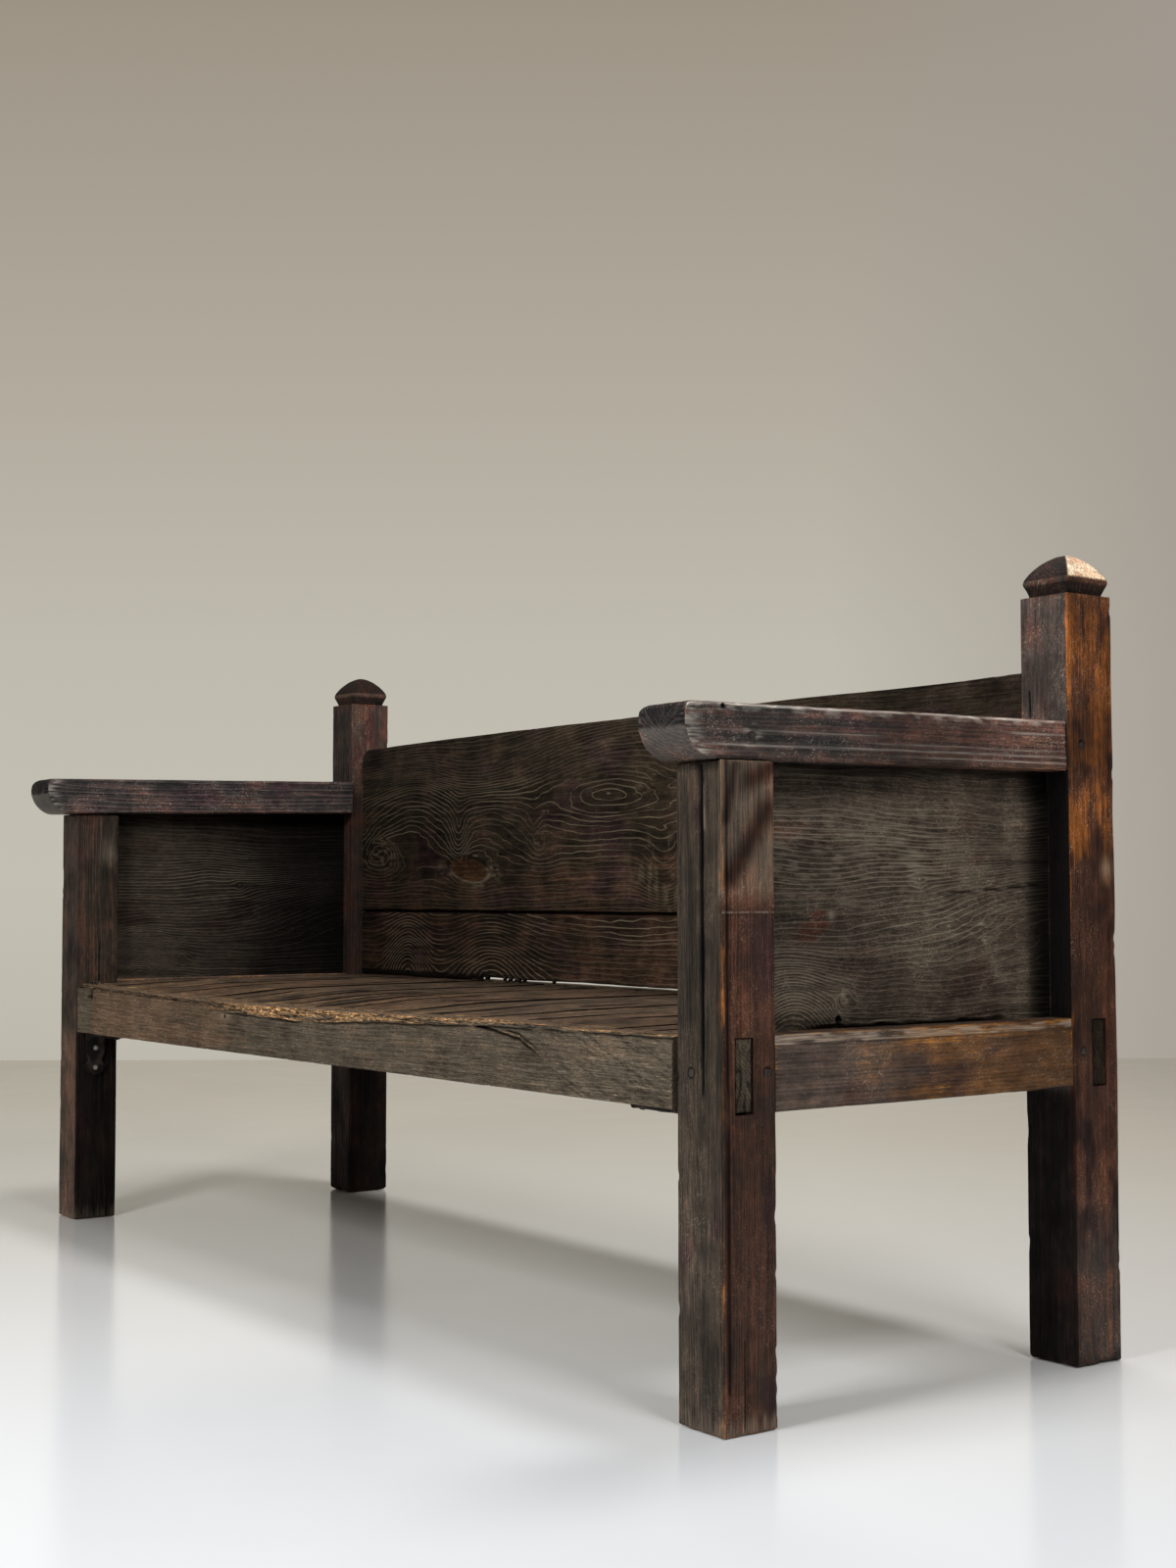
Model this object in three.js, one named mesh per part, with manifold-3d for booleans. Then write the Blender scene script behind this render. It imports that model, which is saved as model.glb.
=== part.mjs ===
// Monks bench: a long joined settle bench of dark old timber.
// Four square posts carry four rails, framed end panels under thick arms, two back boards and
// a seat of short boards laid from front to back. The joints are pegged mortises and tenons,
// and two forged iron angles brace the front rail.
// Millimetres. X runs along the bench, the front faces -Y, and the feet stand on z = 0.

import * as THREE from 'three';
import { mergeVertices } from 'three/addons/utils/BufferGeometryUtils.js';
import Module from 'manifold-3d';

const wasm = await Module();
wasm.setup();

// Overall sizes
const benchLength = 2013;
const standDepth = 677.5;
const seatHeight = 451;

// Posts
const frontPostWidth = 84;
const frontPostDepth = 81;
const frontPostHeight = 768;
const rearPostWidth = 83;
const rearPostDepth = 88;
const rearPostHeight = 1010;
const postArris = 4;

// Domed cap carved on each rear post
const capNeckInset = 9;
const capNeckRise = 17;
const capLipInset = 2.5;
const capLipHeight = 5;
const capDomeHeight = 36;
const capDomeSteps = 7;
const capBulgeShare = 1.25;
const capPointShare = 0.6;

// Rails under the seat
const railThickness = 64;
const railHeight = 90;
const frontRailHeightLeft = 98;
const frontRailGapRight = 9.5;
const sideRailInset = 1;
const rearRailSetback = 17.5;
const tenonThickness = 25;
const tenonShoulder = 2.5;
const tenonEndRecess = 0.8;
const mortiseSlack = 2.5;
const sideTenonLength = 30;
const sideTenonDrop = 12;

// Arms
const armWidth = 90;
const armThickness = 66.5;
const armInset = 3;
const armOverhangLeft = 66;
const armOverhangRight = 50;
const armRiseLeft = 12;
const armRiseRight = 6;
const armSoftRadius = 24;
const armCrispRadius = 7;
const armNoseRadius = 13;
const armNoseFaceHeight = 27;
const armNoseUndercut = 39;
const armNoseFullnessShare = 0.8;
const armTenonThickness = 25;
const armTenonHeight = 42;
const armTenonLength = 50;
const postTenonWidth = 40;
const postTenonDepth = 36;
const postTenonHeight = 42;
const postTenonSetback = 26;

// End panels
const panelThickness = 14;
const panelRecess = 38;
const panelTongue = 8;

// Back boards
const backBoardThickness = 26;
const backBoardSetback = 26;
const backTopDrop = 92;
const lowerBackBoardHeight = 118.5;
const backSplitGap = 5;
const backClearance = 7.5;
const backCornerRadius = 26;
const backTongueLength = 14;
const backTongueShoulder = 28;

// Seat boards, laid from front to back in a rebate of each long rail
const seatBoardThickness = 22;
const seatRebate = 20;
const seatGap = 1.6;
const seatJointShares = [0.1175, 0.266, 0.37, 0.4735, 0.5877, 0.7285, 0.893];
const seatSkewShares = [0.02, -0.07, -0.04, -0.1, 0, -0.03, -0.05];

// Pegs, each given by its distance from a post's near face and its height
const pegRadius = 5.5;
const pegSides = 10;
const railPegLength = 58;
const railPegInset = 27;
const railPegDrop = 44;
const sidePegLength = 50;
const sidePegFrontInset = 13;
const sidePegRearInset = 21;
const armPegLength = 61;
const armPegSetback = 25;
const postPegLength = 60;
const postPegSetback = 50;
const postPegRise = 27;

// Forged angles and nails
const ironThickness = 6;
const ironWidth = 38;
const ironSetback = 16;
const ironStrapLength = 83;
const ironLegLength = 125;
const ironLeafLength = 30;
const ironLeafWidth = 44;
const ironNeckWidth = 27;
const leafShares = { taper: 0.5, wide: 0.33, tip: 0.25, tipWidth: 0.66 };
const ironNailInset = 16;
const ironNailPitch = 37;
const nailHeadRadius = 6.5;
const nailHeadHeight = 2.8;
const nailShankRadius = 2.6;
const nailTipRadius = 0.9;
const nailLength = 44;
const nailSides = 6;

// Fits
const fit = 0.3;
const overrun = 6;
const curveSteps = 6;

// Faces that the pieces share, worked out from the sizes
const xOuter = benchLength / 2;
const yBack = (standDepth + Math.max(armOverhangLeft, armOverhangRight)) / 2;
const yFront = yBack - standDepth;
const frontPostInner = xOuter - frontPostWidth;
const frontPostRear = yFront + frontPostDepth;
const rearPostInner = xOuter - rearPostWidth;
const rearPostFront = yBack - rearPostDepth;
const railBottom = seatHeight - railHeight;
const railCheek = (railThickness - tenonThickness) / 2;
const sideRailOuter = xOuter - sideRailInset;
const sideRailInner = sideRailOuter - railThickness;
const rearRailFront = rearPostFront + rearRailSetback;
const rebateFloor = seatHeight - seatBoardThickness;
const seatFront = yFront + railThickness - seatRebate + fit;
const seatRear = rearRailFront + seatRebate - fit;
const panelOuter = xOuter - panelRecess;
const panelInner = panelOuter - panelThickness;
const armOuter = xOuter - armInset;
const armInner = armOuter - armWidth;
const armMiddle = (armOuter + armInner) / 2;
const backBoardFront = rearPostFront + backBoardSetback;
const railPegHeight = seatHeight - railPegDrop;
const nailReach = nailShankRadius + fit;

const ends = [
  { name: 'left', sign: -1, overhang: armOverhangLeft, rise: armRiseLeft },
  { name: 'right', sign: 1, overhang: armOverhangRight, rise: armRiseRight },
];

// Surfaces
const materials = {
  frame: new THREE.MeshStandardMaterial({ color: 0x4a2c20, roughness: 0.5, metalness: 0 }),
  rail: new THREE.MeshStandardMaterial({ color: 0x4f443a, roughness: 0.62, metalness: 0 }),
  arm: new THREE.MeshStandardMaterial({ color: 0x35282a, roughness: 0.38, metalness: 0 }),
  panel: new THREE.MeshStandardMaterial({ color: 0x3b3129, roughness: 0.55, metalness: 0 }),
  seat: new THREE.MeshStandardMaterial({ color: 0x5d4532, roughness: 0.6, metalness: 0 }),
  peg: new THREE.MeshStandardMaterial({ color: 0x2e2722, roughness: 0.7, metalness: 0 }),
  iron: new THREE.MeshStandardMaterial({ color: 0x1f1c1b, roughness: 0.6, metalness: 0.8 }),
};

const bench = new THREE.Group();

/** A solid from a closed geometry, with its seams merged and its empty triangles dropped. */
function solidOf(geometry) {
  geometry.deleteAttribute('normal');
  geometry.deleteAttribute('uv');
  const merged = mergeVertices(geometry);
  const corners = merged.index.array;
  const kept = [];
  for (let i = 0; i < corners.length; i += 3) {
    const [a, b, c] = [corners[i], corners[i + 1], corners[i + 2]];
    if (a !== b && b !== c && c !== a) kept.push(a, b, c);
  }
  const vertProperties = new Float32Array(merged.attributes.position.array);
  const triVerts = new Uint32Array(kept);
  return new wasm.Manifold(new wasm.Mesh({ numProp: 3, vertProperties, triVerts }));
}

/** A geometry from a solid. */
function geometryOf(solid) {
  const { vertProperties, triVerts } = solid.getMesh();
  const geometry = new THREE.BufferGeometry();
  geometry.setAttribute('position', new THREE.BufferAttribute(vertProperties, 3));
  geometry.setIndex(new THREE.BufferAttribute(triVerts, 1));
  geometry.computeVertexNormals();
  return geometry;
}

/** Adds one named piece to the bench and returns its mesh. */
function addPiece(name, solid, material) {
  const mesh = new THREE.Mesh(geometryOf(solid), material);
  mesh.name = name;
  bench.add(mesh);
  return mesh;
}

/** A range along X on the left or right end, from two distances to the middle of the bench. */
function across(end, near, far) {
  return end.sign > 0 ? [near, far] : [-far, -near];
}

/** A range with the same amount added at both ends. */
function grown([low, high], amount) {
  return [low - amount, high + amount];
}

/** A rectangular block between three ranges. */
function block(x, y, z) {
  const geometry = new THREE.BoxGeometry(x[1] - x[0], y[1] - y[0], z[1] - z[0]);
  geometry.translate((x[0] + x[1]) / 2, (y[0] + y[1]) / 2, (z[0] + z[1]) / 2);
  return solidOf(geometry);
}

/** A flat outline pushed along one axis: drawn in (y, z) for x, (x, z) for y and (x, y) for z. */
function prism(outline, axis, [low, high]) {
  const settings = { depth: high - low, bevelEnabled: false, curveSegments: curveSteps };
  const geometry = new THREE.ExtrudeGeometry(outline, settings);
  const turn = new THREE.Matrix4();
  const [x, y, z] = [[1, 0, 0], [0, 1, 0], [0, 0, 1]].map((unit) => new THREE.Vector3(...unit));
  if (axis === 'x') turn.makeBasis(y, z, x).setPosition(low, 0, 0);
  if (axis === 'y') turn.makeBasis(x, z, y.negate()).setPosition(0, high, 0);
  if (axis === 'z') turn.setPosition(0, 0, low);
  return geometry.applyMatrix4(turn);
}

/** A closed outline through points. */
function outlineOf(points) {
  return new THREE.Shape(points.map(([a, b]) => new THREE.Vector2(a, b)));
}

/** A rectangle whose four corners have radii of their own, from the low corner round to the left top. */
function roundedRectangle([left, right], [low, high], [r0, r1, r2, r3]) {
  const shape = new THREE.Shape();
  shape.moveTo(left + r0, low);
  shape.lineTo(right - r1, low);
  shape.absarc(right - r1, low + r1, r1, -Math.PI / 2, 0);
  shape.lineTo(right, high - r2);
  shape.absarc(right - r2, high - r2, r2, 0, Math.PI / 2);
  shape.lineTo(left + r3, high);
  shape.absarc(left + r3, high - r3, r3, Math.PI / 2, Math.PI);
  shape.lineTo(left, low + r0);
  shape.absarc(left + r0, low + r0, r0, Math.PI, Math.PI * 3 / 2);
  return shape;
}

/** The height of an arm's underside at a place between front and back. */
function armUnderside(end, y) {
  return frontPostHeight + fit + end.rise * (y - yFront) / (rearPostFront - yFront);
}

/** The underside of the front rail, which is deeper at its left end. */
function frontRailUnderside(x) {
  const share = (frontPostInner - x) / (frontPostInner * 2);
  return seatHeight - railHeight - (frontRailHeightLeft - railHeight) * share;
}

// Pegs and nails: each is placed by its outer end and the way it is driven

const upward = new THREE.Vector3(0, 0, 1);

/** The turn and place that carry a fastener drawn down the Z axis to its hole. */
function driven({ at, along }) {
  const turn = new THREE.Quaternion().setFromUnitVectors(upward, along.clone().negate());
  return new THREE.Matrix4().compose(at, turn, new THREE.Vector3(1, 1, 1));
}

/** A round stick from z = 0 down. */
function stick(radius, length, sides, lead) {
  const geometry = new THREE.CylinderGeometry(radius, radius, length + lead, sides);
  return geometry.rotateX(Math.PI / 2).translate(0, 0, (lead - length) / 2);
}

/** The hole that a peg fills, open at its outer end. */
function pegHole(peg) {
  const radius = pegRadius + fit / Math.cos(Math.PI / pegSides);
  return solidOf(stick(radius, peg.length + fit, pegSides, overrun).applyMatrix4(driven(peg)));
}

/** A forged nail: a low faceted head on a tapered shank, its head's underside at z = 0. */
function nailShape() {
  const profile = [
    [0, -nailLength], [nailTipRadius, -nailLength], [nailShankRadius, 0], [nailHeadRadius, 0],
    [nailHeadRadius, nailHeadHeight / 2], [nailHeadRadius / 2, nailHeadHeight], [0, nailHeadHeight],
  ].map(([r, z]) => new THREE.Vector2(r, z));
  return new THREE.LatheGeometry(profile, nailSides).rotateX(Math.PI / 2);
}

/** The hole of a nail's shank, and a seat for its head where the head is sunk. */
function nailHole(nail) {
  const reach = nailReach / Math.cos(Math.PI / nailSides);
  let hole = solidOf(stick(reach, nailLength + fit, nailSides, overrun).applyMatrix4(driven(nail)));
  if (nail.sunk) {
    const radius = nailHeadRadius + fit / Math.cos(Math.PI / nailSides);
    hole = hole.add(solidOf(stick(radius, fit, nailSides, overrun).applyMatrix4(driven(nail))));
  }
  return hole;
}

/** Adds one fastener as a piece of its own, placed by its position and turn. */
function addFastener(name, fastener, geometry, material) {
  const mesh = addPiece(name, solidOf(geometry), material);
  driven(fastener).decompose(mesh.position, mesh.quaternion, mesh.scale);
}

/** The pegs of one end of the bench, by name. */
function pegsOf(end) {
  const inward = new THREE.Vector3(-end.sign, 0, 0);
  const place = (x, y, z) => new THREE.Vector3(end.sign * x, y, z);
  const postPegHeight = armUnderside(end, yFront) + postPegRise;
  const armPegHeight = armUnderside(end, rearPostFront) + armThickness / 2;
  return {
    front_rail: {
      at: place(frontPostInner + railPegInset, yFront, railPegHeight),
      along: new THREE.Vector3(0, 1, 0), length: railPegLength,
    },
    rear_rail: {
      at: place(rearPostInner + railPegInset, yBack, railPegHeight),
      along: new THREE.Vector3(0, -1, 0), length: railPegLength,
    },
    side_rail_front: {
      at: place(xOuter, frontPostRear - sidePegFrontInset, railPegHeight),
      along: inward, length: sidePegLength,
    },
    side_rail_rear: {
      at: place(xOuter, rearPostFront + sidePegRearInset, railPegHeight),
      along: inward, length: sidePegLength,
    },
    arm_front: {
      at: place(armOuter, yFront + postPegSetback, postPegHeight),
      along: inward, length: postPegLength,
    },
    arm_rear: {
      at: place(xOuter, rearPostFront + armPegSetback, armPegHeight),
      along: inward, length: armPegLength,
    },
  };
}

/** The seat boards, each as its left and right edge at the front and at the rear. */
function seatBoards() {
  const boards = [];
  const length = seatRear - seatFront;
  const reach = sideRailInner - fit;
  const edges = seatJointShares.map((share, i) => {
    const front = (share * 2 - 1) * reach;
    return [front, front + seatSkewShares[i] * length];
  });
  const wall = reach + seatGap / 2;
  const all = [[-wall, -wall], ...edges, [wall, wall]];
  for (let i = 0; i + 1 < all.length; i += 1) {
    const left = all[i].map((x) => x + seatGap / 2);
    const right = all[i + 1].map((x) => x - seatGap / 2);
    boards.push({ left, right });
  }
  return boards;
}

/** Two sunk nails in each seat board, one over each long rail. */
function seatNails() {
  const down = new THREE.Vector3(0, 0, -1);
  const nails = {};
  seatBoards().forEach(({ left, right }, i) => {
    const height = seatHeight - nailHeadHeight;
    const front = new THREE.Vector3((left[0] + right[0]) / 2, seatFront + seatRebate / 2, height);
    const rear = new THREE.Vector3((left[1] + right[1]) / 2, seatRear - seatRebate / 2, height);
    nails[`nail_seat_${i + 1}_front`] = { at: front, along: down, sunk: true };
    nails[`nail_seat_${i + 1}_rear`] = { at: rear, along: down, sunk: true };
  });
  return nails;
}

/** The height at which an angle's leg lies under the front rail. */
function ironLegTop(end) {
  const places = [frontPostInner - ironLegLength, frontPostInner];
  return Math.min(...places.map((x) => frontRailUnderside(end.sign * x))) - fit;
}

/** Three nails of an angle: two in its strap, one up into the rail. */
function ironNails(end) {
  const outward = new THREE.Vector3(end.sign, 0, 0);
  const middle = yFront + ironSetback + ironWidth / 2;
  const strapFace = end.sign * (frontPostInner - fit - ironThickness - fit);
  const legTop = ironLegTop(end);
  const low = legTop - ironStrapLength + ironNailInset;
  const leg = end.sign * (frontPostInner - ironLegLength + ironNailInset);
  return {
    low: { at: new THREE.Vector3(strapFace, middle, low), along: outward },
    high: { at: new THREE.Vector3(strapFace, middle, low + ironNailPitch), along: outward },
    leg: { at: new THREE.Vector3(leg, middle, legTop - ironThickness - fit), along: upward },
  };
}

/** All nail or peg holes that a piece has to be bored with. */
function bored(solid, holes) {
  return holes.reduce((rest, hole) => rest.subtract(hole), solid);
}

// Ranges of the joints

const tenonHeights = [railBottom + tenonShoulder, seatHeight - tenonShoulder];
const sideTenonHeights = [railBottom + tenonShoulder, seatHeight - sideTenonDrop];
const sideTenonX = [sideRailInner + railCheek, sideRailOuter - railCheek];
const frontTenonY = [yFront + railCheek, yFront + railCheek + tenonThickness];
const rearTenonY = [rearRailFront + railCheek, rearRailFront + railCheek + tenonThickness];

/** A through mortise, cut wider than its tenon on the rear side and below. */
function throughMortise(end, tenonY, inner) {
  const y = [tenonY[0] - fit, tenonY[1] + mortiseSlack];
  const z = [tenonHeights[0] - mortiseSlack, tenonHeights[1] + fit];
  return block(across(end, inner - overrun, xOuter + overrun), y, z);
}

/** The blind mortises of a side rail in its two posts, cut as one bar with the tenons' room. */
function sideRailRoom(end) {
  const y = [frontPostRear - sideTenonLength - fit, rearPostFront + sideTenonLength + fit];
  return block(grown(across(end, ...sideTenonX), fit), y, grown(sideTenonHeights, fit));
}

/** The side view of an end panel, larger all round by a clearance, its top following the arm. */
function panelOutline(end, clear) {
  const front = frontPostRear - panelTongue - clear;
  const rear = rearPostFront + panelTongue + clear;
  const low = seatHeight - panelTongue - clear;
  const top = panelTongue + clear;
  return outlineOf([
    [front, low], [rear, low],
    [rear, armUnderside(end, rear) + top], [front, armUnderside(end, front) + top],
  ]);
}

/** The room that a panel needs in the pieces round it. */
function panelRoom(end) {
  return solidOf(prism(panelOutline(end, fit * 2), 'x', grown(across(end, panelInner, panelOuter), fit)));
}

/** The two back boards, by name: their heights and the radius of the left top corner. */
const lowerBackBoardLow = seatHeight + backClearance;
const lowerBackBoardHigh = lowerBackBoardLow + lowerBackBoardHeight;
const upperBackBoardLow = lowerBackBoardHigh + backSplitGap;
const upperBackBoardHigh = rearPostHeight - backTopDrop;
const backBoards = {
  lower: { low: lowerBackBoardLow, high: lowerBackBoardHigh, corner: backCornerRadius / 2 },
  upper: { low: upperBackBoardLow, high: upperBackBoardHigh, corner: backCornerRadius },
};
const backBoardY = [backBoardFront, backBoardFront + backBoardThickness];

/** The tongue of a back board, right through from post to post, larger by a clearance. */
function backTongue({ low, high }, clear) {
  const reach = rearPostInner + backTongueLength + clear;
  const z = grown([low + backTongueShoulder, high - backTongueShoulder], clear);
  return block([-reach, reach], grown(backBoardY, clear), z);
}

// Sub-parts

/** A front post: its shoulder follows the arm, and a short tenon stands on it. */
function frontPost(end, pegs) {
  const x = across(end, frontPostInner, xOuter);
  const y = [yFront, frontPostRear];
  const corners = [postArris, postArris, postArris, postArris];
  const bar = solidOf(prism(roundedRectangle(x, y, corners), 'z', [0, frontPostHeight + overrun]));
  const shoulder = outlineOf([
    [yFront - overrun, -overrun], [frontPostRear + overrun, -overrun],
    [frontPostRear + overrun, armUnderside(end, frontPostRear + overrun) - fit],
    [yFront - overrun, armUnderside(end, yFront - overrun) - fit],
  ]);
  const tenonX = across(end, armMiddle - postTenonWidth / 2, armMiddle + postTenonWidth / 2);
  const tenonY = [yFront + postTenonSetback, yFront + postTenonSetback + postTenonDepth];
  const tenon = block(tenonX, tenonY, [frontPostHeight - overrun, frontPostHeight + postTenonHeight]);
  const post = bar.intersect(solidOf(prism(shoulder, 'x', grown(x, overrun)))).add(tenon);
  const nails = ironNails(end);
  return bored(post, [
    throughMortise(end, frontTenonY, frontPostInner), sideRailRoom(end), panelRoom(end),
    pegHole(pegs.front_rail), pegHole(pegs.side_rail_front), pegHole(pegs.arm_front),
    nailHole(nails.low), nailHole(nails.high),
  ]);
}

/** The domed cap on a rear post: an undercut neck, a thin lip and four curved faces to a blunt point. */
function postCap(x, y) {
  const [xMiddle, yMiddle] = [(x[0] + x[1]) / 2, (y[0] + y[1]) / 2];
  const [xHalf, yHalf] = [(x[1] - x[0]) / 2, (y[1] - y[0]) / 2];
  const lipTop = rearPostHeight + capNeckRise + capLipHeight;
  const rings = [
    { z: rearPostHeight - overrun, x: xHalf - capNeckInset, y: yHalf - capNeckInset },
    { z: rearPostHeight, x: xHalf - capNeckInset, y: yHalf - capNeckInset },
    { z: rearPostHeight + capNeckRise, x: xHalf - capLipInset, y: yHalf - capLipInset },
  ];
  for (let i = 0; i < capDomeSteps; i += 1) {
    const share = i / capDomeSteps;
    const width = (1 - share ** capBulgeShare) ** capPointShare;
    const z = lipTop + capDomeHeight * share;
    rings.push({ z, x: (xHalf - capLipInset) * width, y: (yHalf - capLipInset) * width });
  }
  const points = [];
  const faces = [];
  for (const ring of rings) {
    for (const [i, j] of [[-1, -1], [1, -1], [1, 1], [-1, 1]]) {
      points.push(xMiddle + i * ring.x, yMiddle + j * ring.y, ring.z);
    }
  }
  const apex = points.length / 3;
  points.push(xMiddle, yMiddle, lipTop + capDomeHeight);
  const last = apex - 4;
  for (let i = 0; i < 4; i += 1) {
    const j = (i + 1) % 4;
    for (let ring = 0; ring < last; ring += 4) {
      faces.push(ring + i, ring + j, ring + 4 + j, ring + i, ring + 4 + j, ring + 4 + i);
    }
    faces.push(last + i, last + j, apex);
  }
  faces.push(0, 2, 1, 0, 3, 2);
  const geometry = new THREE.BufferGeometry();
  geometry.setAttribute('position', new THREE.BufferAttribute(new Float32Array(points), 3));
  geometry.setIndex(faces);
  return solidOf(geometry);
}

/** A rear post, with the blind mortise of the arm and the housings of the back boards. */
function rearPost(end, pegs) {
  const x = across(end, rearPostInner, xOuter);
  const y = [rearPostFront, yBack];
  const corners = [postArris, postArris, postArris, postArris];
  const bar = solidOf(prism(roundedRectangle(x, y, corners), 'z', [0, rearPostHeight]));
  return bored(bar.add(postCap(x, y)), [
    throughMortise(end, rearTenonY, rearPostInner), sideRailRoom(end), panelRoom(end),
    armTenon(end, fit), backTongue(backBoards.lower, fit), backTongue(backBoards.upper, fit),
    pegHole(pegs.rear_rail), pegHole(pegs.side_rail_rear), pegHole(pegs.arm_rear),
  ]);
}

/** The tenon at the rear end of an arm, larger by a clearance. */
function armTenon(end, clear) {
  const middle = armUnderside(end, rearPostFront) + armThickness / 2;
  const x = across(end, armMiddle - armTenonThickness / 2, armMiddle + armTenonThickness / 2);
  const y = [rearPostFront - overrun, rearPostFront + armTenonLength];
  const z = [middle - armTenonHeight / 2, middle + armTenonHeight / 2];
  return block(grown(x, clear), grown(y, clear), grown(z, clear));
}

/** The side view of an arm before it is sloped: a blunt nose, hollowed back beneath. */
function armSideOutline(end) {
  const nose = yFront - end.overhang;
  const rear = rearPostFront - fit;
  const faceLow = armThickness - armNoseFaceHeight;
  const shape = new THREE.Shape();
  shape.moveTo(rear, 0);
  shape.lineTo(rear, armThickness);
  shape.lineTo(nose + armNoseRadius, armThickness);
  shape.absarc(nose + armNoseRadius, armThickness - armNoseRadius, armNoseRadius, Math.PI / 2, Math.PI);
  shape.lineTo(nose, faceLow);
  const bend = 1 - armNoseFullnessShare;
  shape.quadraticCurveTo(nose + armNoseUndercut * bend, faceLow * bend, nose + armNoseUndercut, 0);
  return shape;
}

/** An arm: rounded bar, sloped up towards the rear, tenoned behind and mortised over the front post. */
function arm(end, pegs) {
  const x = across(end, armInner, armOuter);
  const radii = [armCrispRadius, armCrispRadius, armCrispRadius, armSoftRadius];
  const section = roundedRectangle(x, [0, armThickness], radii);
  const slope = end.rise / (rearPostFront - yFront);
  const lift = new THREE.Matrix4().makeShear(0, 0, 0, slope, 0, 0);
  lift.setPosition(0, 0, armUnderside(end, yFront) - slope * yFront);
  const long = [yFront - end.overhang - overrun, rearPostFront - fit];
  const bar = solidOf(prism(section, 'y', long).applyMatrix4(lift));
  const side = solidOf(prism(armSideOutline(end), 'x', grown(x, overrun)).applyMatrix4(lift));
  const mortiseX = across(end, armMiddle - postTenonWidth / 2, armMiddle + postTenonWidth / 2);
  const mortiseY = [yFront + postTenonSetback, yFront + postTenonSetback + postTenonDepth];
  const mortiseZ = [frontPostHeight - overrun, frontPostHeight + postTenonHeight + fit];
  return bored(bar.intersect(side).add(armTenon(end, 0)), [
    block(grown(mortiseX, fit), grown(mortiseY, fit), mortiseZ), panelRoom(end),
    pegHole(pegs.arm_front), pegHole(pegs.arm_rear),
  ]);
}

/** An end panel, a thin board held in grooves all round. */
function endPanel(end) {
  return solidOf(prism(panelOutline(end, 0), 'x', across(end, panelInner, panelOuter)));
}

/** A side rail: blind tenons into both posts and a groove for the panel. */
function sideRail(end, pegs) {
  const y = [frontPostRear + fit, rearPostFront - fit];
  const body = block(across(end, sideRailInner, sideRailOuter), y, [railBottom, seatHeight]);
  const tenonY = [frontPostRear - sideTenonLength, rearPostFront + sideTenonLength];
  const tenons = block(across(end, ...sideTenonX), tenonY, sideTenonHeights);
  return bored(body.add(tenons), [
    panelRoom(end), pegHole(pegs.side_rail_front), pegHole(pegs.side_rail_rear),
  ]);
}

/** The rebate that carries the seat boards on the inner top edge of a long rail. */
function seatRoom() {
  const reach = Math.max(frontPostInner, rearPostInner);
  const z = [rebateFloor - fit, seatHeight + overrun];
  return block([-reach, reach], grown([seatFront, seatRear], fit), z);
}

/** The through tenons of a long rail, one bar from end to end. */
function throughTenons(tenonY) {
  const reach = xOuter - tenonEndRecess;
  return block([-reach, reach], tenonY, tenonHeights);
}

/** The front rail: deeper at the left, with an open shoulder at the right. */
function frontRail(holes) {
  const [left, right] = [-frontPostInner + fit, frontPostInner - frontRailGapRight];
  const face = outlineOf([
    [left, frontRailUnderside(left)], [right, frontRailUnderside(right)],
    [right, seatHeight], [left, seatHeight],
  ]);
  const body = solidOf(prism(face, 'y', [yFront, yFront + railThickness]));
  return bored(body.add(throughTenons(frontTenonY)), [seatRoom(), ...holes]);
}

/** The rear rail, set between the rear posts. */
function rearRail(holes) {
  const reach = rearPostInner - fit;
  const y = [rearRailFront, rearRailFront + railThickness];
  const body = block([-reach, reach], y, [railBottom, seatHeight]);
  return bored(body.add(throughTenons(rearTenonY)), [seatRoom(), ...holes]);
}

/** A back board with a tongue at each end and its left top corner rounded off. */
function backBoard(board) {
  const reach = rearPostInner - fit;
  const face = roundedRectangle([-reach, reach], [board.low, board.high], [0, 0, 0, board.corner]);
  return solidOf(prism(face, 'y', backBoardY)).add(backTongue(board, 0));
}

/** A seat board, notched round the posts where it meets them. */
function seatBoard({ left, right }, holes) {
  const face = outlineOf([
    [left[0], seatFront], [right[0], seatFront], [right[1], seatRear], [left[1], seatRear],
  ]);
  const board = solidOf(prism(face, 'z', [rebateFloor, seatHeight]));
  const heights = grown([rebateFloor, seatHeight], overrun);
  const notches = ends.flatMap((end) => [
    block(grown(across(end, frontPostInner, xOuter), fit), [yFront, frontPostRear + fit], heights),
    block(grown(across(end, rearPostInner, xOuter), fit), [rearPostFront - fit, yBack], heights),
  ]);
  return bored(board, [...notches, ...holes]);
}

/** The flat of an angle from its bend to its leaf-shaped end, as points along and across it. */
function ironFlat(length) {
  const [half, neck, leaf] = [ironWidth / 2, ironNeckWidth / 2, ironLeafWidth / 2];
  const start = length - ironLeafLength;
  const near = [
    [0, half], [start - ironLeafLength * leafShares.taper, half], [start, neck],
    [start + ironLeafLength * leafShares.wide, leaf],
    [length - ironLeafLength * leafShares.tip, leaf * leafShares.tipWidth], [length, 0],
  ];
  const far = near.slice(0, -1).reverse().map(([a, b]) => [a, -b]);
  return [...near, ...far];
}

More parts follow.
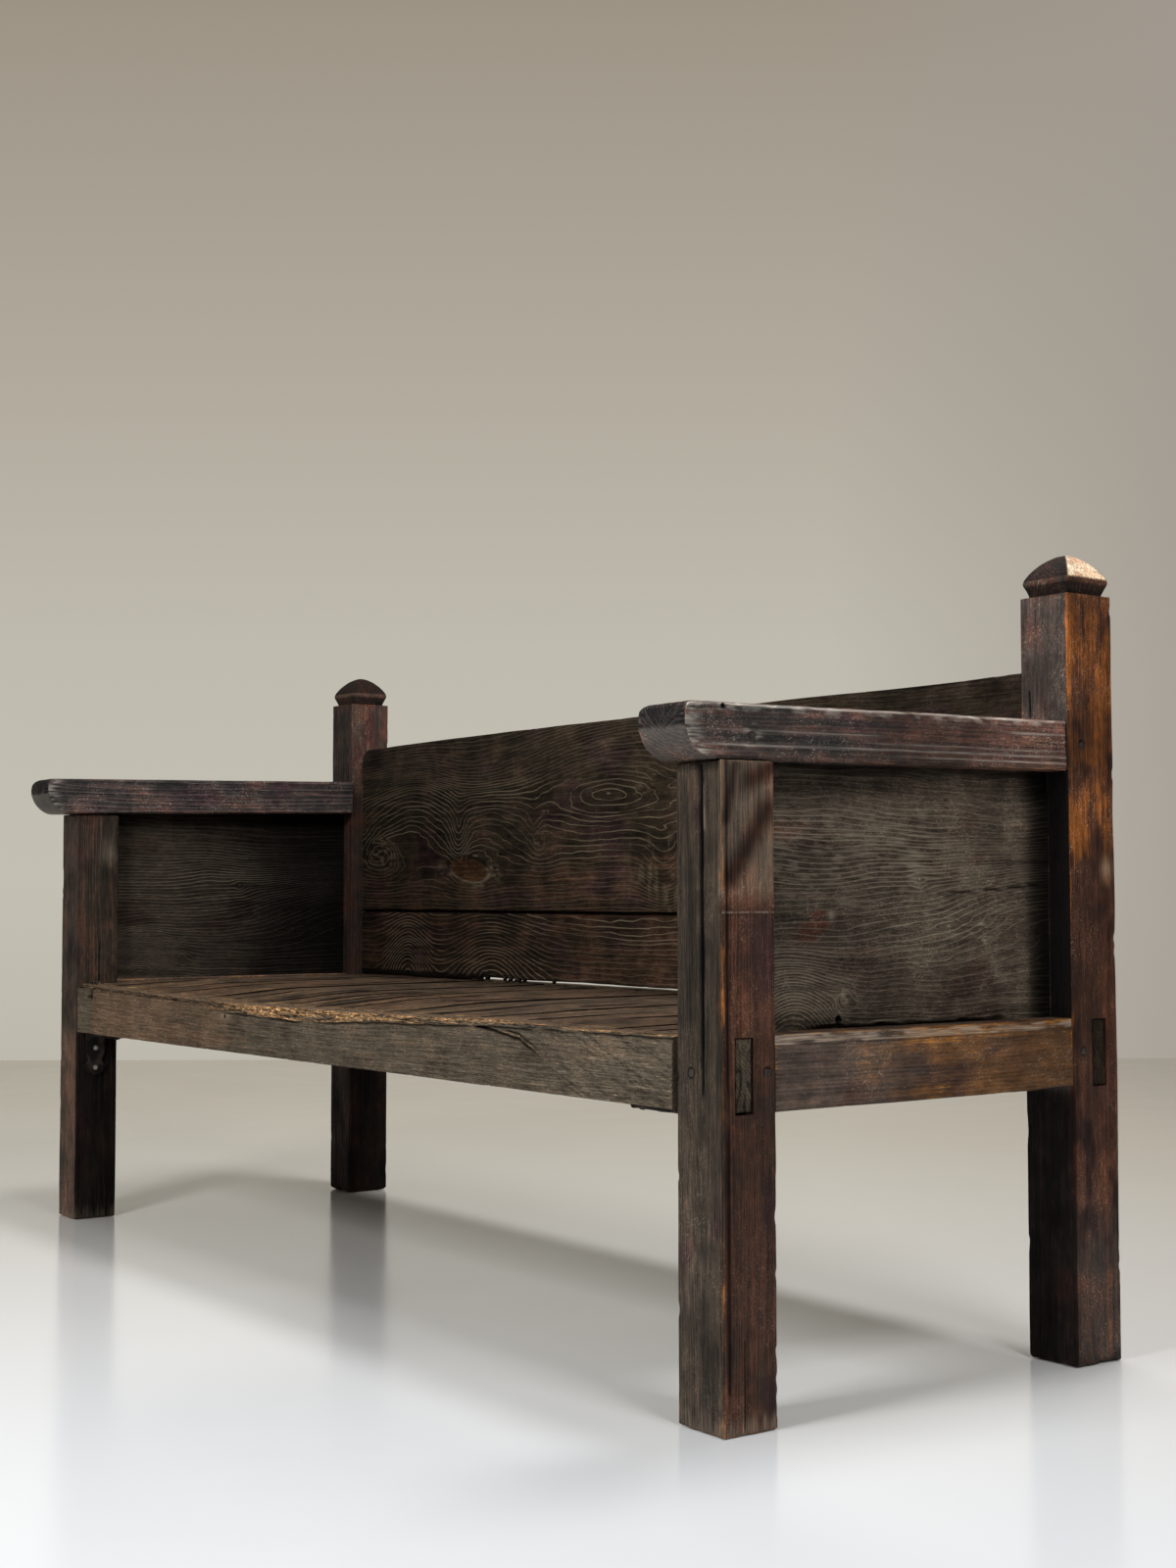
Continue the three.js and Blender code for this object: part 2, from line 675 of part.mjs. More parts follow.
/** A forged angle: a strap down the post's inner face and a leg under the rail. */
function ironAngle(end) {
  const middle = yFront + ironSetback + ironWidth / 2;
  const top = ironLegTop(end);
  const strapX = across(end, frontPostInner - fit - ironThickness, frontPostInner - fit);
  const corner = frontPostInner - fit;
  const strapPoints = ironFlat(ironStrapLength).map(([a, b]) => [middle + b, top - a]);
  const legPoints = ironFlat(ironLegLength).map(([a, b]) => [end.sign * (corner - a), middle + b]);
  const strap = solidOf(prism(outlineOf(strapPoints), 'x', strapX));
  const leg = solidOf(prism(outlineOf(legPoints), 'z', [top - ironThickness, top]));
  return bored(strap.add(leg), Object.values(ironNails(end)).map(nailHole));
}

// Assembly

const pegsByEnd = ends.map(pegsOf);
const seatNailList = seatNails();
const seatNailHoles = Object.values(seatNailList).map(nailHole);
const legNailHoles = ends.map((end) => nailHole(ironNails(end).leg));

ends.forEach((end, i) => {
  const pegs = pegsByEnd[i];
  const endPegs = Object.entries(pegs);
  addPiece(`front_post_${end.name}`, frontPost(end, pegs), materials.frame);
  addPiece(`rear_post_${end.name}`, rearPost(end, pegs), materials.frame);
  addPiece(`side_rail_${end.name}`, sideRail(end, pegs), materials.frame);
  addPiece(`end_panel_${end.name}`, endPanel(end), materials.panel);
  addPiece(`arm_${end.name}`, arm(end, pegs), materials.arm);
  addPiece(`iron_angle_${end.name}`, ironAngle(end), materials.iron);
  for (const [name, nail] of Object.entries(ironNails(end))) {
    addFastener(`nail_iron_${name}_${end.name}`, nail, nailShape(), materials.iron);
  }
  for (const [name, peg] of endPegs) {
    const shape = stick(pegRadius, peg.length, pegSides, 0);
    addFastener(`peg_${name}_${end.name}`, peg, shape, materials.peg);
  }
});

const frontPegHoles = pegsByEnd.map((pegs) => pegHole(pegs.front_rail));
const rearPegHoles = pegsByEnd.map((pegs) => pegHole(pegs.rear_rail));
addPiece('front_rail', frontRail([...frontPegHoles, ...seatNailHoles, ...legNailHoles]), materials.rail);
addPiece('rear_rail', rearRail([...rearPegHoles, ...seatNailHoles]), materials.rail);
for (const [name, board] of Object.entries(backBoards)) {
  addPiece(`back_board_${name}`, backBoard(board), materials.panel);
}
seatBoards().forEach((board, i) => {
  addPiece(`seat_board_${i + 1}`, seatBoard(board, seatNailHoles), materials.seat);
});
for (const [name, nail] of Object.entries(seatNailList)) {
  addFastener(name, nail, nailShape(), materials.iron);
}

export default bench;
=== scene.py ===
# %% [markdown]
# # An old monks bench
#
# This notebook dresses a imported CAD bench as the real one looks: heavy timbers, hewn by hand, pegged
# together and rubbed by a few hundred years of sitting. The CAD model stays the frame of everything.
# Each timber is made again as a denser skin in the same place, so that it can hold worn arrises,
# splits, knots and torn fibres, which a plain solid can't.

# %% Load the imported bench
from math import cos, pi, radians, sin

import bmesh
import bpy
import numpy as np
from mathutils import Matrix, Vector


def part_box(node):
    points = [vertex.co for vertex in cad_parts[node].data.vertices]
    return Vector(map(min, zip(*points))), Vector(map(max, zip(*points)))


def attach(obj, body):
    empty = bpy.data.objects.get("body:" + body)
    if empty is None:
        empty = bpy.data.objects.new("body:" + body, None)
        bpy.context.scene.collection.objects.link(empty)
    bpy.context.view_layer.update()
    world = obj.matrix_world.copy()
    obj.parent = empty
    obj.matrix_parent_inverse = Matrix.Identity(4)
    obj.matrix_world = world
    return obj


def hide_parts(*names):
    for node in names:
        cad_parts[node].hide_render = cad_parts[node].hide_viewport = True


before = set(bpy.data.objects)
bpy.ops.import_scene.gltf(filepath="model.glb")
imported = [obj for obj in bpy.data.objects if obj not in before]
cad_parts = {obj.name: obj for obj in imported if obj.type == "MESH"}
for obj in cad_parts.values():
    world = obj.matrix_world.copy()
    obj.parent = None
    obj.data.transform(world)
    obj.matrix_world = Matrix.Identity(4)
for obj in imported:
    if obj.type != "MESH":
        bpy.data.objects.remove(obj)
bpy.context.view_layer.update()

# %% [markdown]
# ## Units, colours and chance
#
# A joiner thinks in millimetres and Blender in metres, so every length is written as millimetres times
# MM. Colours are written as the hex values that a screen shows, and one function turns them into the
# linear light that a shader works with.
#
# Old wood is uneven everywhere, but it has to be uneven in the same way on each run. The noise below is
# a lattice of random numbers with a fixed seed, blended smoothly. Its bumps can be longer along the
# grain than across it, which is what makes it look like wood and not like stone.

# %% Helpers for colours and chance
MM = 0.001
LATTICE = 40
SHRINK = 2.03
SHIFT = 11.7


def linear(code):
    """An sRGB hex value as linear RGBA."""
    parts = [int(code[i:i + 2], 16) / 255 for i in (1, 3, 5)]
    return tuple(c / 12.92 if c <= 0.04045 else ((c + 0.055) / 1.055) ** 2.4 for c in parts) + (1.0,)


def noise(points, size, seed, octaves=1):
    """A smooth random field, mostly within -1 to 1. size is the width of its bumps along X, Y and Z."""
    lattice = np.random.default_rng(seed).uniform(-1.0, 1.0, (LATTICE,) * 3)
    place = points / np.broadcast_to(size, 3)
    total, strength = 0.0, 1.0
    for _ in range(octaves):
        cell = np.floor(place).astype(int)
        part = place - cell
        part = part * part * (3 - 2 * part)
        cell = cell % LATTICE
        after = (cell + 1) % LATTICE
        value = 0.0
        for corner in range(8):
            pick = [(corner >> axis) & 1 for axis in range(3)]
            index = tuple((after if pick[i] else cell)[..., i] for i in range(3))
            weight = 1.0
            for i in range(3):
                weight = weight * (part[..., i] if pick[i] else 1 - part[..., i])
            value = value + lattice[index] * weight
        total = total + value * strength
        strength *= 0.5
        place = place * SHRINK + SHIFT
    return total


def ramp(value, start, stop):
    """0 before start, 1 after stop and smooth between. start may be the larger."""
    share = np.clip((value - start) / (stop - start), 0.0, 1.0)
    return share * share * (3 - 2 * share)


def bell(value, width):
    """1 where a value is 0, and less as it strays from it by more than about a width."""
    return np.exp(-(value / width) ** 2)


print("a mid grey is", [round(c, 3) for c in linear("#808080")])

# %% [markdown]
# ## The room
#
# The bench stands on a pale painted floor that is glossy enough to mirror its legs, in front of a plain
# warm-grey wall. The light is soft and comes from large windows and a pale ceiling. In Blender that is
# three large area lamps and an even world. The wall glows with painted light: its own tone, lighter low
# down, is shown to the rays that see it or mirror it, so it doesn't add light to the bench.

# %% The camera
EYE = (2.8220, -1.7908, 0.6145)
YAW, PITCH, ROLL = 0.62093, 0.05333, -0.00171
LENS = 47.08

forward = Vector((-cos(YAW) * cos(PITCH), sin(YAW) * cos(PITCH), sin(PITCH)))
level_right = forward.cross(Vector((0, 0, 1))).normalized()
level_up = level_right.cross(forward)
right = level_right * cos(ROLL) + level_up * sin(ROLL)
up = level_up * cos(ROLL) - level_right * sin(ROLL)
camera_data = bpy.data.cameras.new("camera")
camera_data.lens = LENS
camera_data.sensor_width = 36.0
camera = bpy.data.objects.new("camera", camera_data)
turn = Matrix((right, up, -forward)).transposed().to_4x4()
camera.matrix_world = Matrix.Translation(EYE) @ turn
bpy.context.scene.collection.objects.link(camera)
bpy.context.scene.camera = camera
bpy.context.scene.view_settings.view_transform = "Standard"
print("camera", [round(c, 3) for c in camera.location])


# %% One function for any shader node
def add(owner, kind, settings=None, links=None, **values):
    """Adds a node to a material or a tree. settings are its own options, links join outputs to its inputs by
    name or number, and values are numbers for its inputs. A shader node's name leaves out its first word,
    and a value named i1 is for input 1."""
    tree = getattr(owner, "node_tree", owner)
    made = tree.nodes.new(kind if "Node" in kind else "ShaderNode" + kind)
    for key, value in (settings or {}).items():
        setattr(made, key, value)
    for key, value in values.items():
        name = int(key[1:]) if key[0] == "i" and key[1:].isdigit() else key.replace("_", " ")
        made.inputs[name].default_value = value
    for key, socket in (links or {}).items():
        tree.links.new(socket, made.inputs[key])
    return made


def blank(name):
    """A new material with an empty node tree and an output."""
    material = bpy.data.materials.new(name)
    material.use_nodes = True
    material.node_tree.nodes.clear()
    return material


# %% [markdown]
# ### The floor and the wall
#
# The floor is painted boards under a hard clear coat. Paint is a matt colour under a smooth skin, so a
# Principled shader with low roughness is enough. Faint scuffs come from stretched noise, and its warmer
# tone further into the room is a painted reflection of the warm wall. The wall's colour is painted light:
# it is lighter low down, where the floor throws light on it, and darker towards one side.

# %% Floor and wall
WALL_DISTANCE = 7.65


def painted_floor():
    """Nearly white boards that mirror the feet softly and turn warmer into the room, where the warmth is a
    painted reflection of the warm wall.
    """
    floor_paint = blank("white_floor_paint_rolled")
    place = add(floor_paint, "TexCoord").outputs["Object"]
    cloud = add(floor_paint, "TexNoise", links={"Vector": place}, Scale=1.6, Detail=4.0)
    # Warmer further into the room: a painted reflection of the warm wall.
    into_room = add(floor_paint, "VectorMath", {"operation": "DOT_PRODUCT"}, {0: place},
                    i1=(-0.58, 0.81, 0.0))
    far = add(floor_paint, "MapRange", links={"Value": into_room.outputs["Value"]},
              From_Min=-1.0, From_Max=2.2)
    shade = add(floor_paint, "Mix", {"data_type": "RGBA"}, {0: far.outputs[0]},
                i6=linear("#e3e4e5"), i7=linear("#ebe1ce"))
    marks = add(floor_paint, "MapRange", links={"Value": cloud.outputs[0]},
                From_Min=0.55, From_Max=0.8, To_Max=0.2)
    colour = add(floor_paint, "Mix", {"data_type": "RGBA"},
                 {0: marks.outputs[0], 6: shade.outputs[2]}, i7=linear("#c9c5bb"))
    gloss = add(floor_paint, "MapRange", links={"Value": cloud.outputs[0]},
                From_Min=0.3, From_Max=0.7, To_Min=0.12, To_Max=0.2)
    paint = add(floor_paint, "BsdfPrincipled",
                links={"Base Color": colour.outputs[2], "Roughness": gloss.outputs[0]}, IOR=1.5)
    add(floor_paint, "OutputMaterial", links={"Surface": paint.outputs[0]})
    return floor_paint


def limewashed_wall():
    """A plain warm grey that sets off the bench and shows no texture, painted with light: it glows for the
    rays that see or mirror it, brightest low down and darker towards one side.
    """
    wall_paint = blank("warm_grey_wall_limewashed")
    place = add(wall_paint, "TexCoord").outputs["Object"]
    height = add(wall_paint, "SeparateXYZ", links={0: place}).outputs["Z"]
    ramp_node = add(wall_paint, "ValToRGB")
    stops = [(0.0, "#bdb8ac"), (0.16, "#c3bfb3"), (0.36, "#c0bbaf"), (0.62, "#b0a99c"), (1.0, "#9a9082")]
    ramp_node.color_ramp.elements.remove(ramp_node.color_ramp.elements[0])
    ramp_node.color_ramp.elements[0].position = stops[0][0]
    ramp_node.color_ramp.elements[0].color = linear(stops[0][1])
    for position, code in stops[1:]:
        ramp_node.color_ramp.elements.new(position).color = linear(code)
    share = add(wall_paint, "MapRange", links={"Value": height}, From_Max=4.2)
    wall_paint.node_tree.links.new(share.outputs[0], ramp_node.inputs[0])
    side = add(wall_paint, "SeparateXYZ", links={0: place}).outputs["X"]
    # Painted fall-off of the light: the wall grows darker towards one side.
    fall = add(wall_paint, "MapRange", links={"Value": side}, From_Min=0.9, From_Max=2.3, To_Max=0.85)
    colour = add(wall_paint, "Mix", {"data_type": "RGBA"},
                 {0: fall.outputs[0], 6: ramp_node.outputs[0]}, i7=linear("#a09990"))
    # The glow is painted light, on a wall that is no lamp.
    glow = add(wall_paint, "Emission", links={"Color": colour.outputs[2]})
    matt = add(wall_paint, "BsdfDiffuse", links={"Color": colour.outputs[2]})
    rays = add(wall_paint, "LightPath").outputs
    seen = add(wall_paint, "Math", {"operation": "MAXIMUM"},
               {0: rays["Is Camera Ray"], 1: rays["Is Glossy Ray"]})
    seen = add(wall_paint, "Math", {"operation": "MAXIMUM"},
               {0: seen.outputs[0], 1: rays["Is Transmission Ray"]})
    both = add(wall_paint, "MixShader", links={0: seen.outputs[0], 1: matt.outputs[0], 2: glow.outputs[0]})
    add(wall_paint, "OutputMaterial", links={"Surface": both.outputs[0]})
    return wall_paint


def flat_sheet(name, corners, material):
    """A flat four-cornered sheet for the room."""
    mesh = bpy.data.meshes.new(name)
    mesh.from_pydata(corners, [], [(0, 1, 2, 3)])
    mesh.materials.append(material)
    sheet = bpy.data.objects.new(name, mesh)
    bpy.context.scene.collection.objects.link(sheet)
    return sheet


floor = flat_sheet("floor", [(-14, -14, 0), (14, -14, 0), (14, 14, 0), (-14, 14, 0)], painted_floor())
wall = flat_sheet("wall", [(-12, 0, 0), (12, 0, 0), (12, 0, 9), (-12, 0, 9)], limewashed_wall())
away = Vector((forward.x, forward.y, 0)).normalized()
wall.location = Vector((EYE[0], EYE[1], 0)) + away * WALL_DISTANCE
wall.rotation_euler = (0, 0, Vector((0, 1)).angle_signed(Vector((away.x, away.y))) * -1)
print("floor and wall stand", [round(c, 2) for c in wall.location])


# %% Lamps and world
def soft_lamp(name, place, aim, size, power, tint):
    """A large square lamp that looks at a point."""
    data = bpy.data.lights.new(name, "AREA")
    data.shape, data.size, data.energy, data.color = "SQUARE", size, power, linear(tint)[:3]
    lamp = bpy.data.objects.new(name, data)
    lamp.location = place
    lamp.rotation_euler = (Vector(aim) - Vector(place)).to_track_quat("-Z", "Y").to_euler()
    bpy.context.scene.collection.objects.link(lamp)
    return lamp


soft_lamp("window_in_front", (1.0, -2.7, 2.25), (0.2, 0, 0.35), 0.7, 66, "#fcfdff")
soft_lamp("window_right", (3.2, -0.4, 3.3), (0.8, 0, 0.3), 0.9, 62, "#fafcff")
soft_lamp("rooflight", (0.6, 0.9, 4.3), (0.2, 0.1, 0), 0.9, 90, "#fcfdff")
world = bpy.data.worlds.new("even_daylight")
world.use_nodes = True
world.node_tree.nodes["Background"].inputs["Color"].default_value = linear("#f4f3f0")
world.node_tree.nodes["Background"].inputs["Strength"].default_value = 0.2
bpy.context.scene.world = world
print("3 soft lamps and an even world")

# %% [markdown]
# ## How an old timber is made
#
# A timber of this bench was sawn or hewn square, planed roughly, and then worn. It is longest along its
# grain, so the skin is built the same way: rings of points around the section, one after another along
# the grain, and both ends drawn in to a point. The rings are close together where a joint, a peg or a
# tear needs it. Two other ways would be to subdivide the CAD mesh, which has long thin triangles, or
# to remesh it into small cubes, which costs far more faces for the same arris.
#
# Each point keeps its distance to the six faces of the sawn timber. Wear then reads like a maker's
# notes: ease this arris by so much, sink this face here, open a split there. Masks are kept beside the
# shape, and the finish reads them as attributes: warm for red-brown wax, bare for rubbed wood, a dark
# mask for dirt and for painted shade in recesses, gaps and under overhangs, a pale mask for scuffs and
# for painted highlights, figure for ring lines that stand out, and shade, which lightens or darkens by
# camera stops, both for the wood's own tone and for painted light and shade.

# %% The timber grid
AXES = "xyz"
MASKS = ("warm", "bare", "dirt", "pale", "shade", "figure")
CLOSE = np.array([0.0, 0.7, 1.6, 2.8, 4.4, 6.4, 9.0]) * MM
CAP_SHARES = [0.0, 0.3, 0.6, 0.8, 0.9, 0.95, 0.98]


def places(low, high, step, marks=()):
    """Places from low to high: one every step, closer near both ends, and one at each mark."""
    close = CLOSE[CLOSE < (high - low) * 0.4]
    kept = np.concatenate([low + close, high - close, [m for m in marks if low < m < high]])
    even = np.linspace(low, high, max(2, int(np.ceil((high - low) / step)) + 1))
    clear = np.abs(even[:, None] - kept[None]).min(1) > 0.4 * step
    return np.unique(np.round(np.concatenate([kept, even[clear]]), 6))


class Timber:
    """A length of wood: rows of points along the grain, columns round the section, and masks beside them.
    along and across are the steps of its grid in mm, and marks are places where it is closer."""

    def __init__(self, grain, low, high, seed, along=4, across=2, marks=None, tip=None):
        self.grain, self.seed = AXES.index(grain), seed
        self.a, self.b = (self.grain + 1) % 3, (self.grain + 2) % 3
        self.low, self.high = np.array(low, float), np.array(high, float)
        marks = marks or {}
        a, b = (places(low[i], high[i], across * MM, marks.get(AXES[i], ())) for i in (self.a, self.b))
        loop = [(v, b[0]) for v in a[:-1]] + [(a[-1], v) for v in b[:-1]]
        loop += [(v, b[-1]) for v in a[:0:-1]] + [(a[0], v) for v in b[:0:-1]]
        loop = np.array(loop)
        length = places(low[self.grain], high[self.grain], along * MM, marks.get(grain, ()))
        rows = [(length[0], s, s) for s in CAP_SHARES] + [(v, 1.0, 1.0) for v in length]
        rows += tip or [(length[-1], s, s) for s in CAP_SHARES[::-1]]
        self.rows = np.array(rows)
        self.p = np.zeros((len(rows), len(loop), 3))
        self.p[..., self.a], self.p[..., self.b] = loop[None, :, 0], loop[None, :, 1]
        self.p[..., self.grain] = self.rows[:, 0, None]
        self.tip = bool(tip)
        for name in MASKS:
            setattr(self, name, np.zeros(self.p.shape[:2]))
        self.start = self.p.copy()

    def size(self, length, width):
        """The size of a noise bump, from its length along the grain and its width across it in mm."""
        size = np.full(3, width * MM)
        size[self.grain] = length * MM
        return size

    def noise(self, length, width, seed, octaves=1):
        return noise(self.start, self.size(length, width), self.seed * 97 + seed, octaves)

    def patches(self, length, width, seed, start, stop, octaves=2):
        """Ragged patches: 0 where the noise is below start and 1 where it is above stop."""
        return ramp(self.noise(length, width, seed, octaves), start, stop)

    def depth(self, face):
        """Each point's distance below a face, such as "-y"."""
        axis = AXES.index(face[1])
        if face[0] == "-":
            return self.start[..., axis] - self.low[axis]
        return self.high[axis] - self.start[..., axis]

    def on(self, face, reach=1.5):
        """1 on a face, less as deep as reach in mm, and 0 beyond it."""
        return ramp(self.depth(face), reach * MM, 0.0)

    def arris(self):
        """Each point's distance to the nearest arris of the sawn timber."""
        near_faces = [np.minimum(self.depth("-" + axis), self.depth("+" + axis)) for axis in AXES]
        return np.sort(np.stack(near_faces), 0)[1]

    def ease(self, u, v, radius):
        """Rounds the arrises between the faces across two axes to a radius, which may differ by point."""
        low, high = self.low, self.high
        middle = (low + high) / 2
        side = [np.where(self.p[..., i] < middle[i], -1, 1) for i in (u, v)]
        near = [np.where(s < 0, self.p[..., i] - low[i], high[i] - self.p[..., i])
                for s, i in zip(side, (u, v))]
        gap = [np.maximum(radius - n, 0.0) for n in near]
        length = np.hypot(*gap)
        outside = (gap[0] > 0) & (gap[1] > 0) & (length > radius)
        share = np.where(outside, radius / np.maximum(length, 1e-9), 1.0)
        for i, s, g in zip((u, v), side, gap):
            edge = np.where(s < 0, low[i] + radius - g * share, high[i] - radius + g * share)
            self.p[..., i] = np.where(share < 1.0, edge, self.p[..., i])


print("a timber grid has", len(CAP_SHARES), "rows in each end")


# %% [markdown]
# ### Wear
#
# An arris isn't worn evenly: hands, brooms and rats take it off in long shallow bites, and small chips
# break out along the grain. So its radius is a steady part, a slow part and a few chips. The faces sink
# a little between the hard rings, and the ends of legs round off on the floor.

# %% Wear for any timber
def wear(timber, radius=2.5, chips=3.0, heavy=None, foot=4, uneven=0.5, rub=0.45):
    """Eases all arrises, more at the ones named in heavy, and makes the faces uneven. Lengths are in mm."""
    a, b, s = timber.a, timber.b, timber.grain
    middle = (timber.low + timber.high) / 2
    base = np.full(timber.p.shape[:2], radius * MM)
    strength = np.full(timber.p.shape[:2], rub)
    for pair, (amount, bare) in (heavy or {}).items():
        here = np.ones(timber.p.shape[:2], bool)
        for sign, axis in (pair[:2], pair[2:]):
            i = AXES.index(axis)
            here &= (timber.p[..., i] < middle[i]) == (sign == "-")
        base = np.where(here, amount * MM, base)
        strength = np.where(here, bare, strength)
    slow = 1 + 0.4 * timber.noise(60, 200, 1)
    bites = timber.patches(22, 60, 2, 0.35, 0.9)
    spread = np.minimum.reduce([timber.high[i] - timber.low[i] for i in (a, b)]) * 0.45
    worn = np.minimum(base * slow + chips * MM * bites, spread)
    timber.ease(a, b, worn)
    section = timber.p.copy()
    timber.p[..., a] = middle[a] + (section[..., a] - middle[a]) * timber.rows[:, 1, None]
    timber.p[..., b] = middle[b] + (section[..., b] - middle[b]) * timber.rows[:, 2, None]
    timber.start = timber.p.copy()
    ragged = timber.arris() + 1.4 * MM * timber.noise(16, 2.5, 3, 2)
    patchy = timber.patches(70, 300, 8, -0.7, 0.35)
    timber.bare += ramp(ragged, worn * 0.35 + 2.4 * MM, worn * 0.2) * strength * patchy
    ends = foot * MM * (1 + 0.5 * timber.noise(20, 16, 4, 2))
    ends = np.where(timber.tip & (timber.p[..., s] > middle[s]), 0.05 * MM, ends)
    timber.ease(a, s, np.minimum(ends, spread))
    timber.ease(b, s, np.minimum(ends, spread))
    low_spots = uneven * MM * (0.5 + 0.5 * timber.noise(150, 45, 5, 2))
    low_spots = low_spots + uneven * MM * 0.5 * timber.patches(90, 3.5, 6, -0.2, 0.8)
    timber.p -= outward(timber) * low_spots[..., None]


def outward(timber):
    """The direction out of the timber at each point, from its distance to the six faces."""
    out = np.zeros(timber.p.shape)
    for i in range(3):
        low = np.exp(-(timber.p[..., i] - timber.low[i]) / (1.6 * MM))
        high = np.exp(-(timber.high[i] - timber.p[..., i]) / (1.6 * MM))
        out[..., i] = np.clip(high, 0, 2) - np.clip(low, 0, 2)
    return out / np.maximum(np.linalg.norm(out, axis=-1, keepdims=True), 1e-9)


def sink(timber, face, amount):
    """Moves the points of one face straight in by an amount in mm."""
    axis = AXES.index(face[1])
    timber.p[..., axis] += np.where(timber.on(face) > 0, amount, 0.0) * (MM if face[0] == "-" else -MM)


def pit(timber, face, ranges, depth, dark=0.9):
    """A square-sided pit in a face: ranges gives two axes and their places, depth is in mm."""
    inside = timber.on(face) > 0
    for axis, (low, high) in ranges.items():
        place = timber.start[..., AXES.index(axis)]
        inside &= (place > low) & (place < high)
    sink(timber, face, np.where(inside, depth, 0.0))
    timber.dirt = np.maximum(timber.dirt, inside * dark)


def hole(timber, face, centre, radius, depth, dark=0.9):
    """A round hole in a face: centre gives two axes and their places, radius and depth are in mm."""
    away = np.sqrt(sum((timber.start[..., AXES.index(k)] - v) ** 2 for k, v in centre.items()))
    radius = radius * MM
    inside = ramp(away, radius, radius * 0.72) * (timber.on(face) > 0)
    sink(timber, face, inside * depth)
    stain = ramp(away, radius * 1.25, radius * 0.9) * (timber.on(face) > 0) * dark
    timber.dirt = np.maximum(timber.dirt, stain)


def split(timber, face, start, stop, width, depth, wander=2, seed=0, dark=0.95):
    """An open split in a face along the grain, from one place to another (grain, across). It is width and
    depth mm at its middle, and wanders by a few mm."""
    normal, s = AXES.index(face[1]), timber.grain
    across = 3 - normal - s
    share = np.clip((timber.start[..., s] - start[0]) / (stop[0] - start[0]), 0, 1)
    inside = (timber.start[..., s] > min(start[0], stop[0])) & (timber.start[..., s] < max(start[0], stop[0]))
    line = start[1] + (stop[1] - start[1]) * share
    line = line + wander * MM * noise(timber.start * 0 + timber.start[..., s, None], 90 * MM, seed + 31, 2)
    away = np.abs(timber.start[..., across] - line)
    taper = np.sqrt(np.clip(share * (1 - share) * 4, 0, 1)) * inside * (timber.on(face) > 0)
    groove = np.clip(1 - away / (width * MM), 0, 1) * taper
    sink(timber, face, groove * depth)
    timber.dirt = np.maximum(timber.dirt, ramp(groove, 0.05, 0.45) * dark)


def near(timber, point, size):
    """1 at a point and smoothly less around it; size is its reach along X, Y and Z in mm."""
    return np.exp(-(((timber.start - np.array(point)) / (np.array(size) * MM)) ** 2).sum(-1))


def line_on(timber, face, start, stop, width):
    """1 along a straight mark on a face, from one (u, v) to another, and 0 beyond its width."""
    u, v = [i for i in range(3) if AXES[i] != face[1]]
    run = np.array(stop) - np.array(start)
    from_start = np.stack([timber.start[..., u] - start[0], timber.start[..., v] - start[1]], -1)
    share = np.clip(from_start @ run / (run @ run), 0, 1)
    away = np.linalg.norm(from_start - share[..., None] * run, axis=-1)
    return bell(away, width * MM) * timber.on(face, 3)


def marks_at(*centres, radius=6):
    """Places close together around each centre, so that a hole or a split keeps its edge. radius is in mm."""
    shares = np.array([-1.15, -1.0, -0.88, -0.7, -0.35, 0.0, 0.35, 0.7, 0.88, 1.0, 1.15])
    return list(np.concatenate([np.array([c]) + shares * (radius * MM) for c in centres]))


def paint(timber, where, **amounts):
    """Adds to several masks at once: each by its amount times where."""
    for name, amount in amounts.items():
        setattr(timber, name, getattr(timber, name) + amount * where)


def step_at(*edges):
    """Two places a hair apart at each edge, so that a pit keeps upright walls."""
    return [e + d for e in edges for d in (-0.15 * MM, 0.15 * MM)]


print("wear, pits, holes, splits and marks are ready")

# %% [markdown]
# ### Rings
#
# The lines on a board are its annual rings, cut by the saw. A log is a set of nested cones, so one
# number is enough: the distance from the pith, counted in rings. Where a face cuts the cones straight it
# shows parallel lines, where it cuts them at a slant it shows nested arches, and a branch pushes them
# aside. The number is stored on each point together with the width of a ring on that face, and the
# finish draws a line of a set width in millimetres at each whole number.


# %% Rings for any timber
def count_rings(timber, field):
    """Stores a field's ring number and, from its slope along the surface, the width of a ring in mm."""
    q, step = timber.start, 0.5 * MM
    timber.rings = field(q)
    out = outward(timber)
    slope = np.stack([(field(q + step * np.eye(3)[i]) - timber.rings) / step for i in range(3)], -1)
    slope = slope - out * (slope * out).sum(-1, keepdims=True)
    timber.gap = np.minimum(1 / np.maximum(np.linalg.norm(slope, axis=-1), 1e-6) / MM, 60.0)


def ring_field(timber, pith, spacing, bend=12, seed=0):
    """Rings round a pith that lies at a place across the timber and wanders along it."""
    def field(q):
        long_wave = timber.size(700, 300)
        a = q[..., timber.a] - pith[0] + bend * MM * noise(q, long_wave, seed + 51)
        b = q[..., timber.b] - pith[1] + bend * MM * noise(q, long_wave, seed + 52)
        return np.hypot(a, b) / (spacing * MM) + 0.45 * noise(q, timber.size(160, 22), seed + 53, 2)

    count_rings(timber, field)


def tone(timber, faces):
    """How red-brown each face is, from 0 for weathered grey to 1, with soft changes at the arrises."""
    out = outward(timber)
    total = sum(np.clip(out[..., i] * (1 if sign == "+" else -1), 0, 1) * faces.get(sign + axis, faces["all"])
                for i, axis in enumerate(AXES) for sign in "-+")
    timber.warm += total


def darken(timber, faces):
    """Darkens or lightens whole faces by camera stops."""
    out = outward(timber)
    for face, stops in faces.items():
        facing = np.clip(out[..., AXES.index(face[1])] * (1 if face[0] == "+" else -1), 0, 1)
        timber.shade += ramp(facing, 0.3, 0.9) * stops


